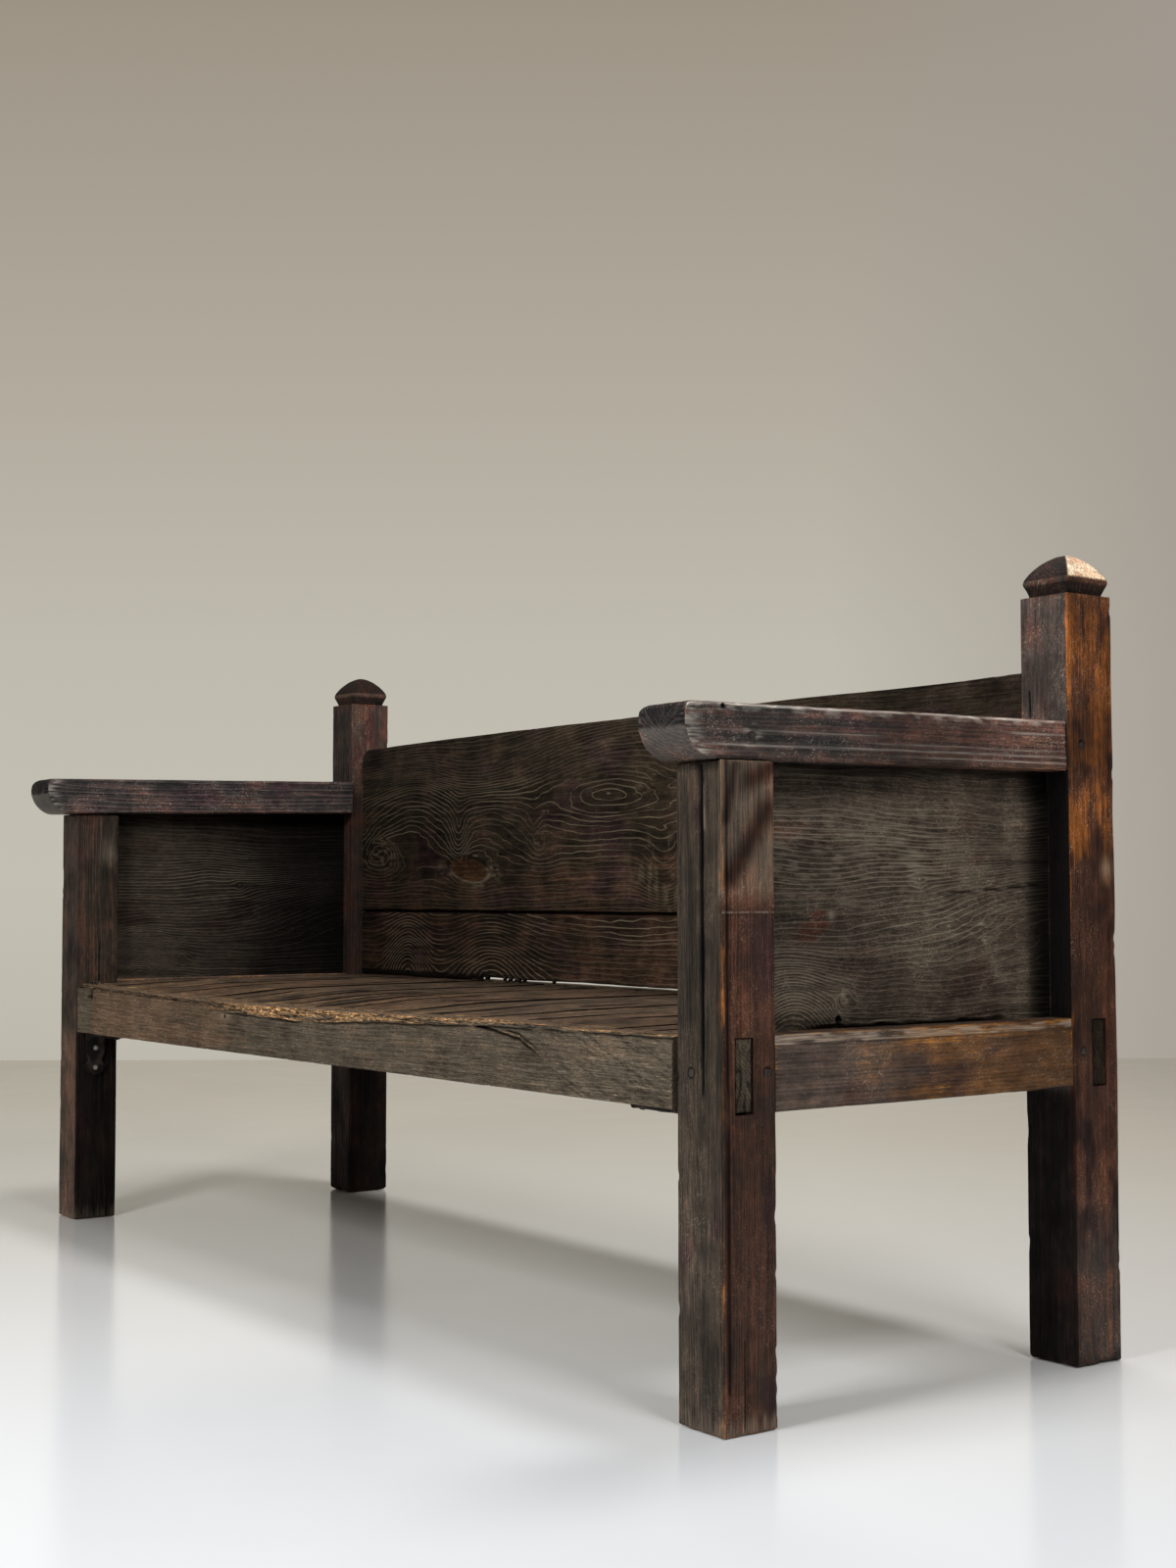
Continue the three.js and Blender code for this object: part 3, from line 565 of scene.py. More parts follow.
def drawn_in(name, timbers, material, nodes):
    """Joins timbers as one piece, with their masks as attributes, and stands it in for its CAD nodes."""
    verts, quads, tris, values = [], [], [], {k: [] for k in ("rings", "gap") + MASKS}
    count = 0
    for timber in timbers:
        rows, columns = timber.p.shape[:2]
        grid = count + 1 + np.arange((rows - 2) * columns).reshape(rows - 2, columns)
        verts += [timber.p[0, :1], timber.p[1:-1].reshape(-1, 3), timber.p[-1, :1]]
        ahead = np.roll(grid, -1, 1)
        quads.append(np.stack([grid[:-1], ahead[:-1], ahead[1:], grid[1:]], -1).reshape(-1, 4))
        last = count + 1 + (rows - 2) * columns
        tris.append(np.stack([np.full(columns, count), ahead[0], grid[0]], -1))
        tris.append(np.stack([np.full(columns, last), grid[-1], ahead[-1]], -1))
        count = last + 1
        for key, store in values.items():
            field = getattr(timber, key)
            store += [field[0, :1], field[1:-1].ravel(), field[-1, :1]]
    mesh = bpy.data.meshes.new(name)
    faces = np.concatenate(quads).tolist() + np.concatenate(tris).tolist()
    mesh.from_pydata(np.concatenate(verts).tolist(), [], faces)
    for key, store in values.items():
        layer = mesh.attributes.new(key, "FLOAT", "POINT")
        layer.data.foreach_set("value", np.concatenate(store).astype(np.float32))
    mesh.shade_smooth()
    mesh.set_sharp_from_angle(angle=radians(55))
    mesh.materials.append(material)
    piece = bpy.data.objects.new(name, mesh)
    bpy.context.scene.collection.objects.link(piece)
    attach(piece, "root")
    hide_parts(*nodes)
    print(f"{name}: {len(mesh.vertices)} points")
    return piece


# %% [markdown]
# ## The finish of old oak
#
# The bench is a coarse open-grained timber, darkened by smoke, wax and hands. What the eye sees has
# layers. Deep in the grain it is nearly black. The fibres are grey-brown where light and brooms have
# bleached them, red-brown where wax has kept them, and wine-dark where it has pooled. Rubbed arrises
# show the orange of clean wood. Over that lies a thin wax that shines on the high spots, and a hundred
# years of scuffs and specks.
#
# One function mixes the layers from the masks, so that all timbers share one finish in several states.
# Light and dark are worked out in camera stops and raised as a power of two, because a dark wood varies
# by shares of its tone and not by amounts. Fibres are about 2 mm wide and 60 mm long, the finer stripes
# follow the rings, and a ring line is 2 mm wide. Real pores are under 0.3 mm wide, too fine to show from
# across a room, so they are drawn coarser, as dashes about 1 mm wide.

# %% The finish
# The length along the grain and the width across it of each pattern. Pores and scratches are drawn
# coarser than real ones, which are too fine to show.
FIBRE, PORE, STREAK = (60 * MM, 1.9 * MM), (12 * MM, 0.9 * MM), (260 * MM, 10 * MM)
MOTTLE, SCRATCH, HAIR = (20 * MM, 8 * MM), (24 * MM, 1.1 * MM), (7 * MM, 1.6 * MM)
BLOTCH, POOL, SPECK = 75 * MM, 120 * MM, 3.4 * MM


def old_oak(name, grain, colours, shine, lines=0.6, grainy=1.0, patchy=1.0, fuzz=0.0, gleam=0.35,
            line_width=2.0, scuffed=1.0, fine=1.0, crumble=0.0):
    """Oak finished by age, in six hex colours. shine is its mean roughness and gleam its wax. The others say
    how strong its ring lines, fibres, clouds, loose hairs, scuffs, pores and crumbs are."""
    cool, warm, wine, line, bare, pale = colours.split()
    wood = blank(name)
    axis = AXES.index(grain)
    place = add(wood, "TexCoord").outputs["Object"]
    join = wood.node_tree.links.new

    def texture(size, detail, rough=0.55, turn=(0.0, 0.0, 0.0), shift=0.0):
        """Noise with bumps of a length and width in metres along the grain, turned before it is stretched."""
        scale = [size[1]] * 3
        scale[axis] = size[0]
        spot = add(wood, "Mapping", {"vector_type": "TEXTURE"}, {"Vector": place}, Scale=scale,
                   Rotation=turn, Location=(shift, shift, shift))
        return add(wood, "TexNoise", links={"Vector": spot.outputs[0]}, Scale=1.0, Detail=detail,
                   Roughness=rough).outputs[0]

    def mask(key):
        return add(wood, "Attribute", {"attribute_name": key}).outputs["Fac"]

    def math(operation, *values):
        node = add(wood, "Math", {"operation": operation})
        for i, value in enumerate(values):
            if isinstance(value, (int, float)):
                node.inputs[i].default_value = value
            else:
                join(value, node.inputs[i])
        return node.outputs[0]

    def fade(value, start, stop, low=0.0, high=1.0):
        return add(wood, "MapRange", {"interpolation_type": "SMOOTHSTEP"}, {"Value": value},
                   From_Min=start, From_Max=stop, To_Min=low, To_Max=high).outputs[0]

    def mix(share, one, two):
        node = add(wood, "Mix", {"data_type": "RGBA"}, {0: share})
        for i, value in ((6, one), (7, two)):
            if isinstance(value, str):
                node.inputs[i].default_value = linear(value)
            else:
                join(value, node.inputs[i])
        return node.outputs[2]

    dimmed = math("POWER", 2.0, math("MULTIPLY", mask("shade"), 0.6))

    def dim(code):
        """A colour that follows the shade mask a little less than the wood under it."""
        scaled = add(wood, "VectorMath", {"operation": "SCALE"}, {"Scale": dimmed}, i0=linear(code)[:3])
        return scaled.outputs[0]

    def sway(total, *parts):
        """A total, plus how far each texture strays from its middle, times its strength."""
        for value, strength in parts:
            total = math("MULTIPLY_ADD", math("SUBTRACT", value, 0.5), strength, total)
        return total

    fibre, streak = texture(FIBRE, 5.0, 0.65), texture(STREAK, 4.0, 0.6)
    pore, mottle = texture(PORE, 2.0), texture(MOTTLE, 4.0, 0.65, shift=0.9)
    blotch, pool = texture((BLOTCH, BLOTCH), 4.0, 0.6), texture((POOL, POOL * 0.6), 3.0, 0.6, shift=3.1)
    speck = texture((SPECK * 1.6, SPECK), 1.0, shift=1.7)
    scratch = texture(SCRATCH, 0.0, turn=(0.45, 0.3, 0.5))
    cross = texture(SCRATCH, 0.0, turn=(-0.9, -0.7, -1.1), shift=0.4)
    # Ring lines: a line of a set width in mm at each whole number of rings, made ragged by the fibres.
    rings = sway(mask("rings"), (fibre, 0.14))
    along = add(wood, "SeparateXYZ", links={0: place}).outputs[axis]
    follow = add(wood, "CombineXYZ", links={0: math("MULTIPLY", rings, 2.3), 1: math("MULTIPLY", along, 9.0)})
    stripe = add(wood, "TexNoise", links={"Vector": follow.outputs[0]}, Scale=1.0, Detail=3.0,
                 Roughness=0.6).outputs[0]
    wave = math("PINGPONG", rings, 0.5)
    away = math("MULTIPLY", math("SUBTRACT", 0.5, wave), mask("gap"))
    ridge = fade(away, line_width * 0.62, line_width * 0.25)
    # The colour of the wood from deep to bleached, and orange where it is rubbed.
    redness = sway(mask("warm"), (blotch, 1.6), (streak, 1.4))
    colour = mix(fade(redness, 0.1, 0.9), cool, warm)
    colour = mix(fade(pool, 0.52, 0.66, 0.0, 0.8), colour, wine)
    rubbed = sway(mask("bare"), (pore, 1.0), (fibre, 1.6))
    colour = mix(fade(rubbed, 0.3, 0.8), colour, bare)
    # How light the wood is, in camera stops: each texture brightens and darkens it by its own strength.
    light = sway(mask("shade"), (fibre, 4.4 * grainy), (stripe, 3.8 * grainy), (pore, 2.6 * fine),
                 (streak, 3.0 * patchy), (blotch, 3.2 * patchy), (mottle, 2.6 * patchy), (pool, 1.6 * patchy),
                 (speck, math("MULTIPLY", mask("bare"), crumble)))
    lit = add(wood, "VectorMath", {"operation": "SCALE"}, {0: colour, "Scale": math("POWER", 2.0, light)})
    colour = lit.outputs[0]
    drawn = math("MULTIPLY", ridge, fade(streak, 0.34, 0.56, 0.3, 1.0))
    shown = math("MULTIPLY", fade(rubbed, 0.9, 0.4, 0.3, 1.0), math("ADD", mask("figure"), lines))
    colour = mix(math("MULTIPLY", drawn, shown), colour, dim(line))
    # Scuffs, specks and loose hairs catch the light, so they are left out where a face is in shade.
    lit_part = fade(mask("shade"), -1.4, -0.3)
    scuffs = math("MULTIPLY", math("MAXIMUM", fade(scratch, 0.69, 0.77), fade(cross, 0.71, 0.79)),
                  fade(blotch, 0.4, 0.62, 0.06 * scuffed, 0.55 * scuffed))
    specks = math("MULTIPLY", fade(speck, 0.72, 0.8), fade(pool, 0.6, 0.4, 0.05 * scuffed, 0.3 * scuffed))
    scuffs = math("MULTIPLY", math("MAXIMUM", scuffs, specks), lit_part)
    # The pale mask holds scuffs and worn spots, and painted highlights as well.
    pale_wear_and_glint = math("MULTIPLY", mask("pale"), fade(fibre, 0.42, 0.56, 0.35, 1.0))
    hairs = fade(texture(HAIR, 2.0, shift=2.3), 0.54, 0.72)
    hairs = math("MULTIPLY", hairs, fade(blotch, 0.4, 0.62, 0.15, fuzz))
    loose = math("MULTIPLY", math("MULTIPLY", hairs, lit_part), min(1.0, fuzz * 4))
    pale_wear_and_glint = math("MAXIMUM", pale_wear_and_glint, loose)
    colour = mix(math("MAXIMUM", scuffs, pale_wear_and_glint), colour, dim(pale))
    # Near black for dirt, and for painted shade in recesses, gaps and under overhangs.
    colour = mix(mask("dirt"), colour, "#070504")
    height = math("MULTIPLY_ADD", fade(away, 2.6, 0.0), 0.7, math("MULTIPLY", fibre, 1.3))
    height = math("MULTIPLY_ADD", stripe, 0.8, height)
    height = math("MULTIPLY_ADD", fade(pore, 0.3, 0.5), 0.4, height)
    bump = add(wood, "Bump", links={"Height": height}, Strength=0.9, Distance=1 * MM)
    # Valleys of the grain are rough and its high spots shine, and dirt and deep shade are matt.
    gloss = sway(shine, (fibre, -0.9), (blotch, -0.5))
    gloss = math("MULTIPLY_ADD", mask("dirt"), 0.3, gloss)
    gloss = math("MULTIPLY_ADD", fade(mask("shade"), -0.8, -2.4), 0.4, gloss)
    surface = add(wood, "BsdfPrincipled",
                  links={"Base Color": colour, "Roughness": fade(gloss, 0.0, 1.0, 0.12, 1.0),
                         "Normal": bump.outputs[0]},
                  IOR=1.5, Specular_IOR_Level=gleam)
    add(wood, "OutputMaterial", links={"Surface": surface.outputs[0]})
    return wood


# Each finish gives the eye something of its own. The six colours are those of its cool fibres, warm wax,
# wine-dark pools, ring lines, rubbed wood, and pale scuffs and painted highlights.
# Grey-brown where it weathered and wine-red where it was waxed, nearly matt, with orange on the arrises.
post_oak = old_oak("oak_front_post_waxed_and_weathered", "z",
                   "#4a3f33 #4f2d1e #2e171a #6a5c50 #7c4c20 #ab9c88",
                   shine=0.42, lines=0.25, grainy=0.85, patchy=1.2, fine=0.8, gleam=0.15)
# Glowing orange and brown in large clouds, like a much handled newel, with little grain and many nicks.
rear_oak = old_oak("oak_rear_post_polished_orange", "z", "#463c37 #552e1c #35191a #6a5c50 #884c1b #c8b496",
                   shine=0.4, lines=0.15, grainy=0.5, patchy=1.2, fine=0.7, gleam=0.18, scuffed=1.2)
# Dry driftwood grey, with a band of crumbling straw-coloured fibres where the arris was torn off.
rail_oak = old_oak("oak_long_rail_weathered_grey", "x", "#51483c #604b3a #3e332a #6c6252 #ac845a #ac9c80",
                   shine=0.65, lines=0.4, grainy=0.75, patchy=0.2, fine=1.5, crumble=7.0, fuzz=0.3,
                   gleam=0.08)
# Smooth red-brown that turns golden where it was rubbed, calm beside the grained panel above it.
side_oak = old_oak("oak_side_rail_waxed_red_brown", "y", "#4d4038 #63401f #3a241d #7c6a5a #946228 #b09c88",
                   shine=0.42, lines=0.2, grainy=0.35, patchy=1.1, fine=0.6, gleam=0.15, scuffed=1.2)
# The darkest and smoothest wood, plum-brown with the shine of hands, and bright scratches along it.
arm_oak = old_oak("oak_arm_polished_by_hands", "y", "#3a3432 #4c2f25 #2e1a20 #8c7c70 #70533a #dcd2c4",
                  shine=0.3, lines=0.15, grainy=0.35, patchy=1.7, fine=0.7, gleam=0.22, scuffed=0.9)
# Olive-brown and scrubbed dry, so that fine pale ring lines stand on it like contours on a map.
panel_oak = old_oak("oak_panel_scrubbed_dark", "y", "#473d33 #4a2a20 #32231d #8c806e #7d5a3c #a89d87",
                    shine=0.55, lines=0.2, grainy=0.5, patchy=0.9, fine=1.1, fuzz=0.3, gleam=0.08,
                    line_width=1.8, scuffed=0.9)
# Dark olive with bold pale rings in arches and eyes: the figure that draws the eye in the whole bench.
back_oak = old_oak("oak_back_board_raised_grain", "x", "#332b21 #3b281e #281a1c #746854 #48301f #84775e",
                   shine=0.55, lines=0.3, grainy=0.55, patchy=1.2, fine=1.0, gleam=0.06, line_width=2.2,
                   scuffed=0.8)
# Mid-brown and matt, rubbed to bare fibres, with strong grain that leads from front to back.
seat_oak = old_oak("oak_seat_board_rubbed_bare", "y", "#43382d #4a3628 #2c201a #6b5a44 #7c6144 #94805f",
                   shine=0.6, lines=0.3, grainy=1.2, patchy=0.8, fine=1.3, gleam=0.08)
print("8 states of one oak finish")

# %% [markdown]
# ## Posts
#
# Each post is a square of about 84 mm. The front right one is weathered grey on its front face and waxed
# wine-red on the outer one, with an arris between them that is rubbed to orange and torn. Its through
# mortise shows as a dark frame around the end of the rail's tenon.
#
# The rear posts run on into a domed cap, cut on the same timber. The rings of points do that too: above
# the shoulder they are drawn in, out to a lip and in again over the dome.


# %% Front posts
def sides(side):
    """A side's sign along X, and its faces that look out of the bench and into it."""
    return (-1, "-x", "+x") if side == "left" else (1, "+x", "-x")


def box_of(node):
    low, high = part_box(node)
    return np.array(low), np.array(high)


rail_low, rail_high = box_of("front_rail")
RAIL_TOP = rail_high[2]
TENON_Z = (0.361, 0.4488)
FRONT_TENON_Y = (-0.28655, -0.25875)
REAR_TENON_Y = (0.32045, 0.34825)
PEG_R = 6.4
SAW_LINE = 0.5925


def front_post(side):
    sign, out, inn = sides(side)
    low, high = box_of(f"front_post_{side}")
    high[2] = 0.7685
    split_x = sign * 0.9695
    marks = {
        "x": marks_at(sign * 0.9495) + marks_at(split_x, radius=4.4),
        "y": marks_at(-0.2400) + marks_at(-0.2740, radius=1.6) + step_at(*FRONT_TENON_Y),
        "z": marks_at(0.4080) + step_at(*TENON_Z) + marks_at(SAW_LINE, radius=3.0),
    }
    post = Timber("z", low, high, 11 if sign > 0 else 12, marks=marks)
    heavy = {f"{out}-y": (4.5, 0.5), f"{inn}-y": (3.0, 0.3), f"{out}+y": (3.0, 0.3)}
    wear(post, heavy=heavy, foot=5, rub=0.3)
    ring_field(post, (sign * 0.97, -0.33 if sign > 0 else -0.24), 3.4, bend=8, seed=post.seed)
    tone(post, {"all": 0.45, "-y": 0.05 if sign > 0 else 0.5, out: 0.8 if sign > 0 else 0.45, inn: 0.4})
    pit(post, out, {"y": FRONT_TENON_Y, "z": TENON_Z}, 14)
    hole(post, "-y", {"x": sign * 0.9495, "z": 0.4070}, PEG_R, 2.4)
    hole(post, out, {"y": -0.2380, "z": 0.4086}, PEG_R, 2.0, 0.6)
    z = post.start[..., 2]
    foot_wear = ramp(z + 14 * MM * post.noise(60, 7, 9, 2), 26 * MM, 4 * MM)
    paint(post, foot_wear, pale=0.35, bare=0.35)
    post.shade += 0.35 * foot_wear * post.on("+x", 9)
    if sign > 0:
        paint_front_right(post, z, split_x)
    else:
        darken(post, {"-y": -0.9, "+x": -0.6})
        split(post, "+x", (0.445, -0.262), (0.531, -0.2615), 1.6, 6, 1, 6)
        darken(post, {"+x": -0.25, "-y": -0.1})
        # Painted shade on the inner face of the leg under the seat.
        post.shade -= 2.4 * ramp(z, 0.36, 0.34) * post.on("+x", 9)
        post.shade += 1.15 * ramp(z, 0.37, 0.34) * post.on("-y", 5)
        knot = near(post, (low[0] + 0.084, -0.248, 0.695), (9, 14, 24))
        post.pale += 0.35 * knot
        post.shade -= 0.9 * near(post, (low[0] + 0.084, -0.252, 0.660), (9, 9, 18))
    return post


def paint_front_right(post, z, split_x):
    """The marks of the front right post: split, stains, saw line and the torn arris."""
    darken(post, {"-y": -0.75, "+x": -0.2})
    split(post, "-y", (0.375, split_x), (0.7684, split_x + 1 * MM), 4.2, 9, 1.0, 3, 1.0)
    split(post, "+x", (0.002, -0.2740), (0.11, -0.2735), 1.2, 6, 1.0, 4)
    crack = line_on(post, "-y", (split_x, 0.762), (split_x + 1 * MM, 0.385), 2.6)
    post.dirt += 0.95 * crack * post.patches(80, 1000, 71, -1.4, -0.5)
    patch = line_on(post, "-y", (0.9740, 0.690), (0.9730, 0.750), 3)
    paint(post, patch * post.patches(16, 4, 66, -0.5, 0.2), pale=0.9, shade=0.9)
    post.shade -= 0.5 * line_on(post, "-y", (0.945, 0.740), (0.950, 0.48), 12)
    front, flank = post.on("-y", 9), post.on("+x", 9)
    post.shade += (0.4 * ramp(z, 0.52, 0.60) - 0.3 * ramp(z, 0.44, 0.50)) * front
    dark_edge = line_on(post, "-y", (0.999, 0.768), (0.999, 0.30), 3.4)
    post.shade -= 1.2 * dark_edge * post.patches(70, 1000, 54, -0.8, 0.2)
    post.shade += 0.4 * ramp(z, 0.40, 0.20) * ramp(z, 0.03, 0.10) * front + 0.35 * ramp(z, 0.22, 0.06) * flank
    stain = line_on(post, "+x", (-0.236, 0.712), (-0.292, 0.632), 13)
    stain = np.maximum(stain, 0.9 * line_on(post, "+x", (-0.228, 0.762), (-0.262, 0.745), 12))
    stain = np.maximum(stain, 0.8 * line_on(post, "+x", (-0.285, 0.762), (-0.298, 0.700), 6))
    upper = ramp(z, 0.595, 0.62) * flank
    post.shade += upper * (0.75 - 2.0 * stain)
    paint(post, upper * (1 - stain), warm=-0.5, bare=0.15, pale=0.12)
    middle = ramp(z, 0.44, 0.47) * ramp(z, 0.59, 0.57) * flank
    post.bare += 0.3 * middle * post.patches(160, 9, 32, -0.2, 0.7)
    post.shade -= 0.55 * ramp(z, 0.47, 0.44) * flank
    post.bare += 0.28 * near(post, (1.0065, -0.275, 0.52), (9, 22, 55))
    torn = line_on(post, "+x", (-0.2965, 0.768), (-0.2965, 0.05), 2.4) * post.patches(90, 1000, 22, -0.7, 0.0)
    paint(post, torn, shade=-2.2, bare=-0.8, warm=0.6)
    sink(post, "+x", 1.2 * torn)
    saw = bell(z - SAW_LINE, 0.9 * MM) * post.on("+x", 3)
    post.pale += 1.0 * saw * post.patches(1000, 7, 23, -0.8, 0.0)
    post.shade -= 0.8 * bell(z - SAW_LINE + 2.2 * MM, 1.2 * MM) * post.on("+x", 3)
    sink(post, "+x", 0.9 * saw)
    lumps = ramp(np.abs(z - 0.635), 0.03, 0.01) + ramp(np.abs(z - 0.483), 0.032, 0.01)
    bits = np.maximum(lumps, ramp(z, 0.72, 0.66) * post.patches(26, 5, 64, -0.05, 0.3))
    edge = bits * ramp(post.arris(), 10 * MM, 3 * MM) * post.on("+x", 12) * post.on("-y", 14)
    paint(post, edge, bare=0.4, shade=0.35)


for side in ("left", "right"):
    drawn_in(f"worn_front_post_{side}", [front_post(side)], post_oak, [f"front_post_{side}"])

# %% Rear posts with their caps
NECK_IN, LIP_IN = 9 * MM, 2.5 * MM
SHOULDER, NECK_TOP, LIP_TOP, CAP_TOP = 1.010, 1.027, 1.032, 1.068
CAP_STEPS, CAP_AXIS = 22, (0.9650, 0.3277)


def cap_rows(low, high):
    """The rows of the cap above the shoulder: a height, and the share of the section along each axis."""
    half = (high - low)[:2] / 2
    rows = [(SHOULDER, 1 - i * MM / half[0], 1 - i * MM / half[1]) for i in (0.6, 1.5, 3.0, 6.0, 9.0)]
    rim = [(NECK_TOP - 1.2 * MM, LIP_IN + 0.9 * MM), (NECK_TOP, LIP_IN + 0.3 * MM),
           (NECK_TOP + 1.5 * MM, LIP_IN), (LIP_TOP - 0.5 * MM, LIP_IN), (LIP_TOP, LIP_IN + 0.3 * MM)]
    neck = [(SHOULDER + (NECK_TOP - SHOULDER) * t, NECK_IN + (LIP_IN - NECK_IN) * t ** 1.3)
            for t in np.linspace(0.08, 0.86, 8)]
    rows += [(z, 1 - inset / half[0], 1 - inset / half[1]) for z, inset in neck + rim]
    for t in np.linspace(0.0, 1.0, CAP_STEPS + 1)[1:] ** 0.8:
        width = (1 - t ** 1.25) ** 0.6
        rows.append((LIP_TOP + (CAP_TOP - LIP_TOP) * t, *(width * (1 - LIP_IN / half))))
    return rows


def rear_post(side):
    sign, out, inn = sides(side)
    low, high = box_of(f"rear_post_{side}")
    high[2] = SHOULDER
    marks = {
        "x": marks_at(sign * 0.939, radius=1.6) + marks_at(sign * 0.9505) + step_at(sign * 0.9690),
        "y": marks_at(0.3047) + marks_at(0.2920, radius=6) + step_at(*REAR_TENON_Y),
        "z": marks_at(0.407) + marks_at(0.8105) + step_at(*TENON_Z) + step_at(RAIL_TOP, 0.776),
    }
    post = Timber("z", low, high, 13 if sign > 0 else 14, along=4.5, marks=marks, tip=cap_rows(low, high))
    heavy = {f"{out}-y": (3.0, 0.55), f"{out}+y": (4.5, 0.5)}
    wear(post, heavy=heavy, foot=11, rub=0.35)
    ring_field(post, (sign * 0.99, 0.36), 3.2, bend=9, seed=post.seed)
    tone(post, {"all": 0.45, out: 0.95 if sign > 0 else 0.6, "-y": 0.4})
    pit(post, out, {"y": REAR_TENON_Y, "z": TENON_Z}, 14, 0.8)
    hole(post, out, {"y": 0.3047, "z": 0.407}, PEG_R, 2.0, 0.5)
    hole(post, out, {"y": 0.3087, "z": 0.8103}, PEG_R, 2.0, 0.6)
    split(post, "-y", (0.846, sign * 0.939), (0.884, sign * 0.939), 1.8, 9, 0.5, 7)
    z = post.start[..., 2]
    # Painted shade: the strip of the front face in the recess beside the end panel is near black, shaded by
    # the front post and the arm.
    shaded_recess = (np.abs(post.start[..., 0]) > 0.969) & (np.abs(post.start[..., 0]) < 1.004)
    shaded_recess = shaded_recess & (z > RAIL_TOP) & (z < 0.776) & (post.depth("-y") < 2 * MM)
    post.dirt = np.maximum(post.dirt, shaded_recess * 0.97)
    darken(post, {inn: -0.3})
    # Painted shade on the legs under the seat, on their inner and front faces; the left leg is lightened
    # again below.
    shaded_legs = ramp(z, 0.365, 0.345)
    post.shade -= shaded_legs * 2.3 * np.maximum(post.on(inn, 9), post.on("-y", 5))
    if sign > 0:
        paint_rear_right(post, z)
    else:
        darken(post, {"-y": -1.3})
        # The inner face is painted in shade below the arm and a little lighter above it.
        post.shade += post.on("+x", 9) * (0.3 * ramp(z, 0.84, 0.88) - 1.0 * ramp(z, 0.84, 0.80))
        post.shade += shaded_legs * (2.0 * post.on("-y", 5) + 0.8 * post.on("+x", 9))
    # The neck under the lip is darkened as painted shade.
    neck = ramp(z, SHOULDER - 0.5 * MM, SHOULDER + 1 * MM) * ramp(z, NECK_TOP + 1 * MM, NECK_TOP - 2 * MM)
    post.dirt += 0.75 * neck
    lip = ramp(z, NECK_TOP - 1 * MM, NECK_TOP + 1 * MM) * ramp(z, LIP_TOP + 4 * MM, LIP_TOP)
    post.shade -= 0.5 * lip
    # The dome: on the right post its right facet is painted lit with a painted highlight in patches, and its
    # other facets are painted in shade; the left cap is darker all over.
    dome = ramp(z, LIP_TOP, LIP_TOP + 2 * MM)
    facing = post.start[..., 0] - CAP_AXIS[0] * sign, post.start[..., 1] - CAP_AXIS[1]
    right_side = ramp(facing[0] - np.abs(facing[1]), -2 * MM, 2 * MM)
    painted_glint = ramp(noise(post.start, (14 * MM, 14 * MM, 9 * MM), 55, 2), -0.5, 0.25)
    post.pale += (0.35 + 0.55 * painted_glint if sign > 0 else 0.0) * dome * right_side
    post.bare += 0.3 * dome * right_side
    on_right, elsewhere = (1.9, -1.8) if sign > 0 else (-2.5, -2.4)
    post.shade += dome * (on_right * right_side + elsewhere * (1 - right_side))
    return post


def paint_rear_right(post, z):
    """The rear right post: orange above, brown and grey towards the foot."""
    darken(post, {"+x": -0.3})
    face = post.on("+x", 7)
    high_up = ramp(z + 40 * MM * post.noise(90, 60, 24, 2), 0.60, 0.70)
    mottled = post.patches(75, 30, 21, -0.5, 0.45, octaves=3)
    cloudy = post.patches(70, 45, 33, -0.5, 0.7, octaves=3)
    post.bare += face * high_up * (0.25 + 0.5 * mottled)
    post.bare += face * (1 - high_up) * 0.38 * cloudy * ramp(z, 0.10, 0.26)
    post.warm += 0.4 * face * ramp(z, 0.2, 0.35)
    post.shade += face * (0.3 * high_up - 0.35 * (1 - high_up) + 0.4 * ramp(z, 0.30, 0.10))
    dark = post.patches(60, 26, 65, 0.15, 0.7, octaves=3) * face
    paint(post, dark, shade=-0.9, bare=-0.4)
    post.shade -= 0.6 * face * bell(z - 0.81, 0.07) + 0.3 * face * ramp(z, 0.70, 0.74)
    post.shade -= 0.35 * post.on("-y", 4)
    golden = near(post, (1.0065, 0.294, 0.95), (9, 12, 60)) + near(post, (1.0065, 0.30, 0.70), (9, 20, 50))
    paint(post, golden, bare=0.5, shade=0.4)
    post.warm -= 0.5 * face * ramp(z, 0.30, 0.12)
    post.bare += 0.5 * near(post, (1.0065, 0.354, 0.645), (9, 15, 22))
    post.pale += 0.5 * near(post, (1.0065, 0.354, 0.645), (9, 11, 14))
    # The front face is painted lighter above the arm, where light reaches it, than in the shade below.
    post.shade += 0.75 * post.on("-y", 4) * ramp(z, 0.80, 0.84)
    post.warm -= 0.2 * post.on("-y", 4)
    tenon = near(post, (1.0065, 0.334, 0.405), (9, 24, 60))
    paint(post, tenon, warm=-0.7, shade=-0.5)


for side in ("left", "right"):
    drawn_in(f"worn_rear_post_{side}", [rear_post(side)], rear_oak, [f"rear_post_{side}"])

# %% [markdown]
# ## Arms
#
# The arms are the thickest boards of the bench, and the most handled. The nose is sawn square above and
# cut back underneath in a hollow curve, so that fingers can close around it. The grid is squeezed back
# by that curve, row by row, and the arm then follows its slope up to the rear post.

# %% Arms
ARM_THICK = 66.5 * MM
NOSE_FACE, NOSE_UNDER, NOSE_FULL, NOSE_R = 39.5 * MM, 39 * MM, 0.2, 13 * MM
ARM_RISE = {"left": 12 * MM, "right": 6 * MM}
ARM_BASE = 0.7683
STAND = (-0.30575, 0.28375)


